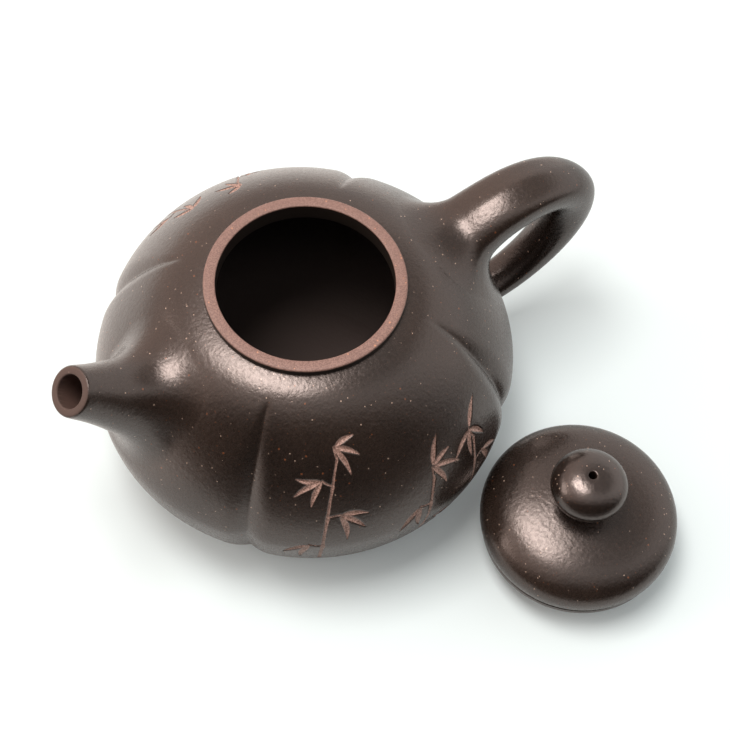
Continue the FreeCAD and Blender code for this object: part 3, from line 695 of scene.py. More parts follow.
@dataclass(frozen=True)
class LobedForm:
    """A rounded wall of four lobes that meet in creases on the diagonals.

    A station runs from -90 degrees at the floor over 0 at the belly to 90 degrees at the top.
    """

    belly_radius: float
    belly_height: float
    top_radius: float
    top_height: float
    floor_radius: float
    floor_height: float
    shoulder_rise: float = 0.6 * MM
    spout_side_rise: float = 1.3 * MM
    belly_roundness = 2.05
    shoulder_roundness = 1.57
    shoulder_peak, shoulder_end = 0.18, 0.75
    spout_side_peak, spout_side_end = 0.30, 0.85
    spout_side_width = 0.55
    lobe_offset = 3.0 * MM
    lobe_fade = 0.05
    crease_depth = 1.45 * MM
    crease_width = 4.9 * MM
    pinch_width = 1.3 * MM
    pinch_station = 0.27
    pinch_run = 0.16
    pinch_share = 0.30
    under_fade = 1.6
    valley_round = 0.35 * MM
    normal_step = 0.05 * MM
    meet_steps = 160
    meet_halvings = 24

    def level(self, station: float) -> tuple[float, float]:
        """Radius and height of the round form, before it has lobes."""
        upper = station > 0.0
        roundness = self.shoulder_roundness if upper else self.belly_roundness
        end_radius = self.top_radius if upper else self.floor_radius
        end_height = self.top_height if upper else self.floor_height
        share = abs(math.cos(station)) ** (2.0 / roundness)
        climb = abs(math.sin(station)) ** (2.0 / roundness)
        radius = mix(end_radius, self.belly_radius, share)
        if upper:
            radius += (self.shoulder_rise * ease(0.0, self.shoulder_peak, share)
                       * (1.0 - ease(self.shoulder_peak, self.shoulder_end, share)))
        return radius, mix(self.belly_height, end_height, climb)

    def station_at(self, height: float) -> float:
        """The station at a height."""
        upper = height > self.belly_height
        end = self.top_height if upper else self.floor_height
        roundness = self.shoulder_roundness if upper else self.belly_roundness
        climb = min(max((height - self.belly_height) / (end - self.belly_height), 0.0), 1.0)
        station = math.asin(climb ** (roundness / 2.0))
        return station if upper else -station

    def lobed_radius(self, radius: float, station: float, angle: float) -> float:
        """The radius once the lobes and creases are in."""
        fullness = max(math.cos(station), 0.0)
        if station > 0.0:
            share = fullness ** (2.0 / self.shoulder_roundness)
            turn = (angle % math.tau - math.pi) / self.spout_side_width
            radius += (self.spout_side_rise * ease(0.0, self.spout_side_peak, share)
                       * (1.0 - ease(self.spout_side_peak, self.spout_side_end, share))
                       * math.exp(-turn ** 2))
        fade = self.lobe_fade + (1.0 - self.lobe_fade) * fullness
        away = from_crease(angle)
        aside = EIGHTH - away
        offset = self.lobe_offset * fade
        reach = radius - offset
        base = offset * math.cos(aside) + math.sqrt(reach ** 2 - (offset * math.sin(aside)) ** 2)
        start = ease(self.pinch_station, self.pinch_station + self.pinch_run, fullness)
        spread = ease(self.pinch_station, 1.0, fullness)
        depth = self.crease_depth * start * mix(self.pinch_share, 1.0, spread)
        if station < 0.0:
            depth *= fullness ** self.under_fade
        width = mix(self.pinch_width, self.crease_width, spread)
        valley = self.valley_round * mix(self.pinch_share, 1.0, spread)
        distance = math.sqrt((base * away) ** 2 + valley ** 2) - valley
        return base - depth * max(1.0 - distance / width, 0.0) ** 2

    def point(self, station: float, angle: float) -> Vector:
        """The wall's point at a station and an angle."""
        radius, height = self.level(station)
        return about_axis(self.lobed_radius(radius, station, angle), angle, height)

    def depth_of(self, spot: Vector) -> float:
        """How far a spot lies outside the wall, measured level; below 0 inside it."""
        height = min(max(spot.z, self.floor_height), self.top_height)
        station = self.station_at(height)
        radius = self.lobed_radius(self.level(station)[0], station, angle_of(spot))
        return math.hypot(spot.x, spot.y) - radius

    def normal_at(self, spot: Vector) -> Vector:
        """The wall's outward normal near a spot."""
        slopes = []
        for axis in range(3):
            shift = ORIGIN.copy()
            shift[axis] = self.normal_step
            slopes.append(self.depth_of(spot + shift) - self.depth_of(spot - shift))
        return unit(Vector(slopes))

    def meet(self, start: Vector, run: Vector, reach: float) -> Vector:
        """Where a line from outside first enters the wall.

        Args:
            start: where the line starts, outside the wall.
            run: its direction, one long.
            reach: how far it is followed.

        Returns:
            The point on the wall, or the line's end if it misses.
        """
        before = 0.0
        for step in range(1, self.meet_steps + 1):
            after = reach * step / self.meet_steps
            if self.depth_of(start + run * after) < 0.0:
                break
            before = after
        for _ in range(self.meet_halvings):
            middle = (before + after) / 2.0
            if self.depth_of(start + run * middle) < 0.0:
                after = middle
            else:
                before = middle
        return start + run * after


@dataclass
class PotWall:
    """The hollow wall of the pot with its carved bamboo.

    Stations of the inside are shifted by `inside_shift`, so that one number tells both sides.
    """

    outside: LobedForm
    inside: LobedForm
    panels: tuple[CarvedPanel, ...]
    arc_table: list[float] = field(default_factory=list)
    around = 288
    outside_rows = 100
    inside_rows = 36
    inside_shift = 10.0
    crease_cuts = 2
    crease_zone = math.radians(8.8)
    carve_cuts = 4
    carve_depth = 0.42 * MM
    carve_margin = 0.75
    carve_power = 0.7
    carved_stations = 1.25
    mark_gain = 1.6
    # How far the inside's painted shade is lifted towards raw clay at the floor, and up to which
    # height.
    floor_shade_lift = 0.12
    shade_lift_height = 9.0 * MM
    arc_steps = 180

    def build(self) -> Shape:
        """Makes the whole wall."""
        outer = [mix(-QUARTER, QUARTER, share) for share in shares(self.outside_rows)]
        inner = [self.inside_shift + mix(QUARTER, -QUARTER, share)
                 for share in shares(self.inside_rows)]
        wall = turned_blank(outer + inner, self.around, closed=True)
        self.measure_arc()
        self.refine_creases(wall)
        cuts = self.refine_carving(wall)
        place_points(wall, self.place)
        self.carve(wall, cuts)
        return wall

    def is_inside(self, station: float) -> bool:
        """Whether a station belongs to the inside."""
        return station > self.inside_shift / 2.0

    def place(self, station: float, angle: float) -> Vector:
        """A point of the outside, or of the inside where the station is shifted."""
        if self.is_inside(station):
            return self.inside.point(station - self.inside_shift, angle)
        return self.outside.point(station, angle)

    def refine_creases(self, wall: Shape) -> None:
        """Cuts the outside's columns finer along the creases."""
        layer = wall.verts.layers.float["station"]
        chosen = []
        for edge in wall.edges:
            first, second = edge.verts
            if abs(first[layer] - second[layer]) > 1e-6 or self.is_inside(first[layer]):
                continue
            if from_crease(angle_of((first.co + second.co) / 2.0)) < self.crease_zone:
                chosen.append(edge)
        bmesh.ops.subdivide_edges(wall, edges=chosen, cuts=self.crease_cuts, use_grid_fill=True)

    def measure_arc(self) -> None:
        """Adds up the outside's length from the belly upwards and downwards, by station."""
        spots = [self.outside.level(mix(-QUARTER, QUARTER, share))
                 for share in shares(self.arc_steps)]
        lengths = [0.0]
        for before, after in zip(spots, spots[1:]):
            lengths.append(lengths[-1] + math.dist(before, after))
        belly = lengths[self.arc_steps // 2]
        self.arc_table = [(length - belly) / MM for length in lengths]

    def unrolled(self, station: float, angle: float, panel: CarvedPanel) -> Vector:
        """Millimetres right of the panel's middle and up from the belly."""
        turn = (angle - panel.bearing + math.pi) % math.tau - math.pi
        place = (station / math.pi + 0.5) * self.arc_steps
        low = min(int(place), self.arc_steps - 1)
        up = mix(self.arc_table[low], self.arc_table[low + 1], place - low)
        return Vector((turn * panel.unroll_radius, up))

    def panel_cuts(self) -> list[tuple[CarvedPanel, Stroke, list[Vector], tuple[float, ...]]]:
        """Every cut with its panel, its path and the box round it."""
        cuts = []
        for panel in self.panels:
            for stroke in panel.strokes():
                path = stroke.path()
                reach = stroke.width / 2.0 + self.carve_margin
                across = [spot.x for spot in path]
                up = [spot.y for spot in path]
                box = (min(across) - reach, max(across) + reach, min(up) - reach, max(up) + reach)
                cuts.append((panel, stroke, path, box))
        return cuts

    def refine_carving(self, wall: Shape) -> list:
        """Cuts the faces under and beside the carving finer.

        Args:
            wall: the blank.

        Returns:
            The cuts, for `carve`.
        """
        layer = wall.verts.layers.float["station"]
        cuts = self.panel_cuts()
        edges = set()
        for face in wall.faces:
            stations = [point[layer] for point in face.verts]
            if self.is_inside(max(stations)):
                continue
            angle = angle_of(face.calc_center_median())
            station = sum(stations) / len(stations)
            if self.deepest(station, angle, cuts, self.carve_margin) > 0.0:
                edges.update(face.edges)
        bmesh.ops.subdivide_edges(wall, edges=list(edges), cuts=self.carve_cuts,
                                  use_grid_fill=True)
        return cuts

    def deepest(self, station: float, angle: float, cuts: Sequence, margin: float = 0.0) -> float:
        """The deepest cut at a place, as a share of full depth, or 0 off all of them.

        With a margin, in millimetres, places that near to a cut count as well.
        """
        best = 0.0
        spots = {}
        for panel, stroke, path, box in cuts:
            if panel.bearing not in spots:
                spots[panel.bearing] = self.unrolled(station, angle, panel)
            spot = spots[panel.bearing]
            if not (box[0] < spot.x < box[1] and box[2] < spot.y < box[3]):
                continue
            if margin and min((spot - point).length for point in path) < stroke.width + margin:
                return 1.0
            best = max(best, stroke.cut_at(spot, path))
        return best

    def carve(self, wall: Shape, cuts: Sequence) -> None:
        """Sinks the cuts into the outside and marks cuts and inside for the finish."""
        carved, inner, raw = (wall.verts.layers.float.new(name)
                              for name in ("carved", "inner", "raw"))
        layer = wall.verts.layers.float["station"]
        floor = self.inside.floor_height
        wall.normal_update()
        sunk = []
        for point in wall.verts:
            station = point[layer]
            if self.is_inside(station):
                # The inside is marked for its painted shade, which is lifted towards raw clay near
                # the floor.
                point[inner] = 1.0
                point[raw] = self.floor_shade_lift * (1.0 - ease(0.0, self.shade_lift_height,
                                                               point.co.z - floor))
            elif abs(station) <= self.carved_stations:
                cut = self.deepest(station, angle_of(point.co), cuts)
                if cut > 0.0:
                    sunk.append((point, point.normal.copy(), cut))
        for point, normal, cut in sunk:
            point[carved] = min(cut * self.mark_gain, 1.0)
            point.co -= normal * self.carve_depth * cut ** self.carve_power


# ---- Parts that grow out of the wall ----

@dataclass(frozen=True)
class Meridian:
    """One line along the handle where it starts to flow into the wall."""

    start: Vector
    run: Vector
    landing: Vector
    away: Vector


def flowing_rings(meridians: Sequence[Meridian], wall: LobedForm, count: int,
                  sink: float) -> list[list[Vector]]:
    """Rings that carry a tube's surface smoothly onto the wall.

    Args:
        meridians: the lines, in order round the tube.
        wall: the form that they land on.
        count: how many rings there are.
        sink: how far the last ring lies under the wall's surface.

    Returns:
        The rings, the first one just after the start.
    """
    rings = []
    for share in shares(count, 1):
        ring = []
        for line in meridians:
            span = (line.landing - line.start).length
            normal = wall.normal_at(line.landing)
            along = unit(line.away - normal * line.away.dot(normal))
            cube, square = share ** 3, share ** 2
            spot = (line.start * (2.0 * cube - 3.0 * square + 1.0)
                    + line.run * (span * (cube - 2.0 * square + share))
                    + line.landing * (3.0 * square - 2.0 * cube)
                    + along * (span * (cube - square)))
            ring.append(spot - normal * (sink * share ** 4))
        rings.append(ring)
    return rings


@dataclass
class Spout:
    """A short flared spout with a rounded lip, bored through to the wall."""

    wall: LobedForm
    lip: Vector
    slope: float
    around = 120
    lip_radius = 5.25 * MM
    lip_round = 0.75 * MM
    lip_steps = 6
    lip_paleness = 0.45
    bore_round = 0.35 * MM
    bore_radius = 3.4 * MM
    bore_taper = 0.152
    bore_past_wall = 0.4 * MM
    bore_rows = 8
    end_length = 0.8 * MM
    end_width = 1.2 * MM
    flare_radius = 14.6 * MM
    flare_length = 30.5 * MM
    flare_sag = 1.75 * MM
    flare_rows = 14
    least_start = 0.9 * MM
    first_row = 1.4
    blend_from = 0.52
    top_blend_from = 0.34
    top_height = 0.685
    blend_past_hit = 1.5 * MM
    blend_rows = 24
    spread = 5.6 * MM
    top_spread = 6.5 * MM
    sink = 0.04 * MM
    probe = 60.0 * MM
    touch_step = 0.1 * MM

    def axis(self) -> Vector:
        """The direction from the lip into the pot."""
        return Vector((math.cos(self.slope), 0.0, -math.sin(self.slope)))

    def spoke(self, step: int) -> Vector:
        """The direction from the axis to one of the lines along the spout."""
        turn = math.tau * step / self.around
        return SIDE * math.cos(turn) + self.axis().cross(SIDE) * math.sin(turn)

    def outer_radius(self, along: float) -> float:
        """The spout's radius at a distance from the lip."""
        share = along / self.flare_length
        bowl = 4.0 * self.flare_sag * share * (1.0 - share)
        return mix(self.lip_radius, self.flare_radius, share) - bowl

    def inner_radius(self, along: float) -> float:
        """The bore's radius at a distance from the lip."""
        return self.bore_radius + self.bore_taper * along

    def skin(self, step: int, along: float) -> Vector:
        """A point of the plain flare."""
        return self.lip + self.axis() * along + self.spoke(step) * self.outer_radius(along)

    def ring(self, along: float, radius: float) -> list[Vector]:
        """A round ring of points at a distance from the lip."""
        centre = self.lip + self.axis() * along
        return [centre + self.spoke(step) * radius for step in range(self.around)]

    def lip_rings(self) -> list[list[Vector]]:
        """From the bore over the rounded rim to the outside."""
        turns = [QUARTER * share for share in shares(self.lip_steps)]
        inward = [self.ring(self.bore_round * (1.0 - math.sin(turn)),
                            self.bore_radius + self.bore_round * (1.0 - math.cos(turn)))
                  for turn in turns]
        outward = [self.ring(self.lip_round * (1.0 - math.cos(turn)),
                             self.lip_radius - self.lip_round * (1.0 - math.sin(turn)))
                   for turn in turns]
        return inward + outward

    def first_touch(self, step: int) -> float:
        """The distance from the lip at which one line of the plain flare enters the wall."""
        along = 0.0
        while along < self.flare_length and self.wall.depth_of(self.skin(step, along)) >= 0.0:
            along += self.touch_step
        return along

    def run_out(self, step: int, share: float, start: float, hit: float, top: float) -> Vector:
        """A point where the flare runs out on the wall.

        Args:
            step: which line along the spout.
            share: how far along the run-out, from 0 to 1.
            start: the distance from the lip at which this line's run-out starts.
            hit: the distance at which its plain flare would enter the wall.
            top: 1 on the spout's upper side, 0 on its lower one.

        Returns:
            The point, between the plain flare and the wall.
        """
        turn = share ** 3 * (share * (share * 6.0 - 15.0) + 10.0)
        flare = self.skin(step, mix(start, hit + self.blend_past_hit, share))
        far = self.outer_radius(hit) + self.spread + self.top_spread * top
        reach = mix(self.outer_radius(start), far, share)
        landing = self.wall.meet(self.lip + self.spoke(step) * reach, self.axis(), self.probe)
        normal = self.wall.normal_at(landing)
        return flare.lerp(landing, turn) - normal * (self.sink * share ** 4)

    def build(self) -> Shape:
        """Makes the spout."""
        lines = []
        for step in range(self.around):
            hit = self.first_touch(step)
            top = ease(0.0, 1.0, self.spoke(step).z / self.top_height)
            start = mix(self.least_start, hit, mix(self.blend_from, self.top_blend_from, top))
            lines.append((step, start, hit, top))
        rings = self.lip_rings()
        for share in shares(self.flare_rows, 1):
            rings.append([self.skin(step, mix(self.lip_round * self.first_row, start, share))
                          for step, start, _, _ in lines])
        for share in shares(self.blend_rows, 1):
            rings.append([self.run_out(step, share, start, hit, top)
                          for step, start, hit, top in lines])
        centre = self.wall.meet(self.lip, self.axis(), self.probe)
        depth = (centre - self.lip).length + self.bore_past_wall
        rings.append(self.ring(depth + self.end_length, self.inner_radius(depth) + self.end_width))
        for share in shares(self.bore_rows, 1)[::-1]:
            along = mix(self.bore_round, depth, share)
            rings.append(self.ring(along, self.inner_radius(along)))
        return self.mark_bore(tube_through(rings, closed=True))

    def mark_bore(self, tube: Shape) -> Shape:
        """Marks the bore's points, and less so the lip's face, as raw clay."""
        raw = tube.verts.layers.float.new("raw")
        for point in tube.verts:
            along = (point.co - self.lip).dot(self.axis())
            away = (point.co - self.lip - self.axis() * along).length
            within = away < self.inner_radius(along) + 0.05 * MM
            point[raw] = float(within and along > self.bore_round)
            if along < self.lip_round and away < self.lip_radius - self.lip_round * 0.4:
                point[raw] = max(point[raw], self.lip_paleness)
        return tube


@dataclass
class Handle:
    """An ear on a leaning ellipse whose two ends flow into the wall.

    Stations are degrees round the ellipse.  A swell says where it starts, how long it is and
    by which power it grows.
    """

    wall: LobedForm
    around = 96
    shaft_rows = 90
    end_rows = 20
    reach = 48.1 * MM
    height = 33.8 * MM
    long_half = 20.9 * MM
    short_half = 15.3 * MM
    lean = math.radians(35.0)
    root_radius = 7.5 * MM
    end_radius = 4.3 * MM
    taper = 1.3
    root_station = 93.0
    end_station = -129.0
    upper_flare = 2.5 * MM
    upper_swell = (66.0, 46.0, 2.5)
    lower_flare = 3.2 * MM
    lower_swell = (-115.0, 37.0, 2.0)
    upper_start = 84.0
    lower_start = -121.0
    upper_spread = 7.8 * MM
    under_spread = 5.0 * MM
    lower_spread = 3.6 * MM
    upper_flatness = 0.32
    flat_from = 0.2
    sink = 0.04 * MM
    probe = 30.0 * MM
    step_back = 3.0 * MM
    landing_probe = 40.0 * MM
    pole_depth = 1.2 * MM
    pole_ring = 0.3

    def centre(self, station: float) -> Vector:
        """A point on the centre line."""
        turn = math.radians(station)
        along = self.long_half * math.cos(turn)
        across = self.short_half * math.sin(turn)
        return Vector((self.reach + along * math.cos(self.lean) - across * math.sin(self.lean), 0.0,
                       self.height + along * math.sin(self.lean) + across * math.cos(self.lean)))

    def run(self, station: float) -> Vector:
        """The centre line's direction towards growing stations."""
        return unit(self.centre(station + 0.5) - self.centre(station - 0.5))

    def radius(self, station: float) -> float:
        """The handle's radius at a station."""
        share = (station - self.end_station) / (self.root_station - self.end_station)
        share = min(max(share, 0.0), 1.0)
        upper_from, upper_length, upper_power = self.upper_swell
        lower_from, lower_length, lower_power = self.lower_swell
        upper = max(station - upper_from, 0.0) / upper_length
        lower = max(lower_from - station, 0.0) / lower_length
        return (mix(self.end_radius, self.root_radius, share ** self.taper)
                + self.upper_flare * upper ** upper_power
                + self.lower_flare * lower ** lower_power)

    def spot(self, station: float, step: int) -> Vector:
        """A point on the handle's skin."""
        turn = math.tau * step / self.around
        upward = self.run(station).cross(SIDE)
        spoke = SIDE * math.cos(turn) + upward * math.sin(turn)
        squeeze = 1.0 - self.upper_flatness * ease(self.flat_from, 1.0, spoke.z)
        return self.centre(station) + spoke * (self.radius(station) * squeeze)

    def end_rings(self, station: float, way: float, spread: float) -> list[list[Vector]]:
        """The rings that carry one end into the wall, and its closed end inside the wall.

        Args:
            station: where the end starts.
            way: 1 towards growing stations, -1 towards falling ones.
            spread: how far the end widens on the wall.

        Returns:
            The rings, outwards from the start.
        """
        run = self.run(station) * way
        middle = self.wall.meet(self.centre(station), run, self.probe)
        lines = []
        for step in range(self.around):
            start = self.spot(station, step)
            before = self.spot(station - way * 0.5, step)
            outward = unit(start - self.centre(station))
            reach = spread + self.under_spread * max(-outward.z, 0.0) * max(way, 0.0)
            landing = self.wall.meet(start + outward * reach - run * self.step_back, run,
                                     self.landing_probe)
            lines.append(Meridian(start, unit(start - before), landing, landing - middle))
        rings = flowing_rings(lines, self.wall, self.end_rows, self.sink)
        pole = middle + run * self.pole_depth
        rings.append([pole + (spot - pole) * self.pole_ring for spot in rings[-1]])
        rings.append([pole.copy() for _ in range(self.around)])
        return rings

    def build(self) -> Shape:
        """Makes the handle."""
        shaft = [[self.spot(mix(self.lower_start, self.upper_start, share), step)
                  for step in range(self.around)] for share in shares(self.shaft_rows)]
        lower = self.end_rings(self.lower_start, -1.0, self.lower_spread)
        upper = self.end_rings(self.upper_start, 1.0, self.upper_spread)
        return tube_through(lower[::-1] + shaft + upper, closed=False)


# ---- The assemblies ----

FRONT_BAMBOO = CarvedPanel(math.radians(-92.0), (
    BambooStem((-17.0, -7.0), 4.0, (8.0, 8.6, 8.0, 6.2), (
        (4, 100.0, (-64.0, -24.0, 18.0)), (3, 150.0, (-148.0, -112.0, 176.0)),
        (2, 12.0, (-82.0, -44.0, -8.0)), (1, 168.0, (-104.0, -140.0)))),
    BambooStem((3.0, -11.0), 10.0, (7.4, 7.8, 6.6), (
        (3, 80.0, (-30.0, -72.0, 14.0, 58.0)), (2, 164.0, (-132.0, -96.0)),
        (1, 8.0, (-70.0, -32.0)))),
    BambooStem((17.0, -2.0), 14.0, (6.4, 6.4), (
        (2, 96.0, (-152.0, -108.0, -58.0, 38.0)), (1, 10.0, (-78.0, -40.0))))))
BACK_BAMBOO = CarvedPanel(math.radians(96.0), (
    BambooStem((-12.0, 6.0), 12.0, (7.6, 7.6, 6.0), (
        (3, 90.0, (-30.0, -70.0, 20.0)), (2, 160.0, (-130.0, -95.0)),
        (1, 8.0, (-66.0, -28.0)))),
    BambooStem((10.0, 4.0), -8.0, (7.0, 7.0, 5.6), (
        (3, 96.0, (-140.0, -100.0, -50.0)), (2, 12.0, (-74.0, -34.0)),
        (1, 170.0, (-110.0, -146.0))))))


@dataclass
class Pot:
    """The pot: wall, floor, foot ring, mouth ring, spout and handle."""

    clay: Material
    rim: Material
    body = "pot"
    around = 192
    wall_thickness = 3.0 * MM
    belly_height = 25.3 * MM
    neck_inset = 0.4 * MM
    inner_floor_inset = 5.0 * MM
    inner_floor_drop = 0.12 * MM
    spout_lip = Vector((-52.8, 0.0, 56.3))
    spout_slope = math.radians(46.8)
    strainer_radius = 7.6 * MM
    strainer_distance = 26.0 * MM
    bar_steps = 96
    mouth_radius = 18.5 * MM
    mouth_steps = 288
    foot_width = 4.0 * MM
    foot_bevel = 0.6 * MM
    foot_round = 0.5 * MM
    foot_overlap = 0.2 * MM
    floor_steps = 96
    floor_rows = 16
    floor_edge = 0.985
    floor_dish = 0.15 * MM
    under_dish = 0.4 * MM
    floor_top_layer = 0.3 * MM

    def outside_form(self) -> LobedForm:
        """The wall's outside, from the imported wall's box."""
        low, high, _ = node_span("body_shell")
        _, foot_high, _ = node_span("foot_ring")
        _, ring_high, _ = node_span("mouth_collar")
        return LobedForm(high.y, self.belly_height, ring_high.y - self.neck_inset, high.z,
                         foot_high.y, low.z)

    def inside_form(self, outside: LobedForm) -> LobedForm:
        """The wall's inside, one wall in from the outside."""
        _, floor_high, _ = node_span("base_disc")
        return LobedForm(outside.belly_radius - self.wall_thickness, self.belly_height,
                         outside.top_radius, outside.top_height - self.wall_thickness,
                         floor_high.y - self.inner_floor_inset,
                         floor_high.z - self.inner_floor_drop, 0.0, 0.0)

    def strainer_bar(self, spout: Spout) -> bpy.types.Object:
        """A round bar that clears the wall where the strainer sits."""
        bar = bmesh.new()
        bmesh.ops.create_cone(bar, cap_ends=True, segments=self.bar_steps,
                              radius1=self.strainer_radius, radius2=self.strainer_radius,
                              depth=self.strainer_distance)
        turn = UP.rotation_difference(spout.axis()).to_matrix().to_4x4()
        bmesh.ops.transform(bar, matrix=Matrix.Translation(
            spout.lip + spout.axis() * self.strainer_distance) @ turn, verts=bar.verts[:])
        return into_scene("strainer_bar", bar)

    def cut_strainer_hole(self, piece: bpy.types.Object, spout: Spout) -> None:
        """Opens the wall behind the spout and removes the cutting bar."""
        cutter = self.strainer_bar(spout)
        opening = piece.modifiers.new("strainer_hole", "BOOLEAN")
        opening.operation = "DIFFERENCE"
        opening.solver = "EXACT"
        opening.object = cutter
        graph = bpy.context.evaluated_depsgraph_get()
        cut_mesh = bpy.data.meshes.new_from_object(piece.evaluated_get(graph))
        piece.modifiers.clear()
        plain = piece.data
        piece.data = cut_mesh
        cut_mesh.name = plain.name + "_cut"
        bpy.data.meshes.remove(plain)
        bpy.data.objects.remove(cutter)

    def mouth_ring(self) -> Shape:
        """The ring round the mouth, its top face ground flat."""
        low, high, _ = node_span("mouth_collar")
        return turned(rounded_outline([
            Corner(high.y, low.z + 1.0 * MM),
            Corner(high.y, high.z, 0.42 * MM),
            Corner(self.mouth_radius, high.z, 0.28 * MM),
            Corner(self.mouth_radius, low.z, 0.5 * MM),
            Corner(high.y - 0.6 * MM, low.z),
        ]), self.mouth_steps)

    def foot_ring(self) -> Shape:
        """The low ring that the pot stands on."""
        low, high, _ = node_span("foot_ring")
        inner, top = high.y - self.foot_width, high.z + self.foot_overlap
        return turned(rounded_outline([
            Corner(high.y - self.foot_bevel, low.z, self.foot_round),
            Corner(high.y, top),
            Corner(inner, top),
            Corner(inner + self.foot_bevel, low.z, self.foot_round),
        ]), self.around)

    def floor_disc(self) -> Shape:
        """The floor, slightly dished under the pot."""
        low, high, _ = node_span("base_disc")
        spans = shares(self.floor_rows)[:-1] + [self.floor_edge, 1.0]
        top = [on_outline(high.y * span, high.z - self.floor_dish * math.cos(QUARTER * span))
               for span in spans]
        under = [on_outline(high.y * span, low.z + self.under_dish * math.cos(QUARTER * span))
                 for span in spans[::-1]]
        disc = turned(top + under, self.floor_steps, closed=False)
        inner, raw = (disc.verts.layers.float.new(name) for name in ("inner", "raw"))
        # The top is marked for the inside's painted shade, lifted a little towards raw clay.
        for point in disc.verts:
            if point.co.z > high.z - self.floor_top_layer:
                point[inner] = 1.0
                point[raw] = PotWall.floor_shade_lift
        return disc

    def build(self) -> None:
        """Makes and dresses the pot."""
        outside = self.outside_form()
        wall = PotWall(outside, self.inside_form(outside), (FRONT_BAMBOO, BACK_BAMBOO))
        spout = Spout(outside, self.spout_lip * MM, self.spout_slope)
        shell = make_piece("pot_wall", wall.build(),
                           Dressing(self.body, "clay", self.clay, ("body_shell",)))
        self.cut_strainer_hole(shell, spout)
        for name, shape, slot, finish, node in (
                ("pour_spout", spout.build(), "clay", self.clay, "spout"),
                ("ear_handle", Handle(outside).build(), "clay", self.clay, "handle"),
                ("ground_mouth_ring", self.mouth_ring(), "ground_rim", self.rim, "mouth_collar"),
                ("standing_ring", self.foot_ring(), "clay", self.clay, "foot_ring"),
                ("pot_floor", self.floor_disc(), "clay", self.clay, "base_disc")):
            make_piece(name, shape, Dressing(self.body, slot, finish, (node,)))


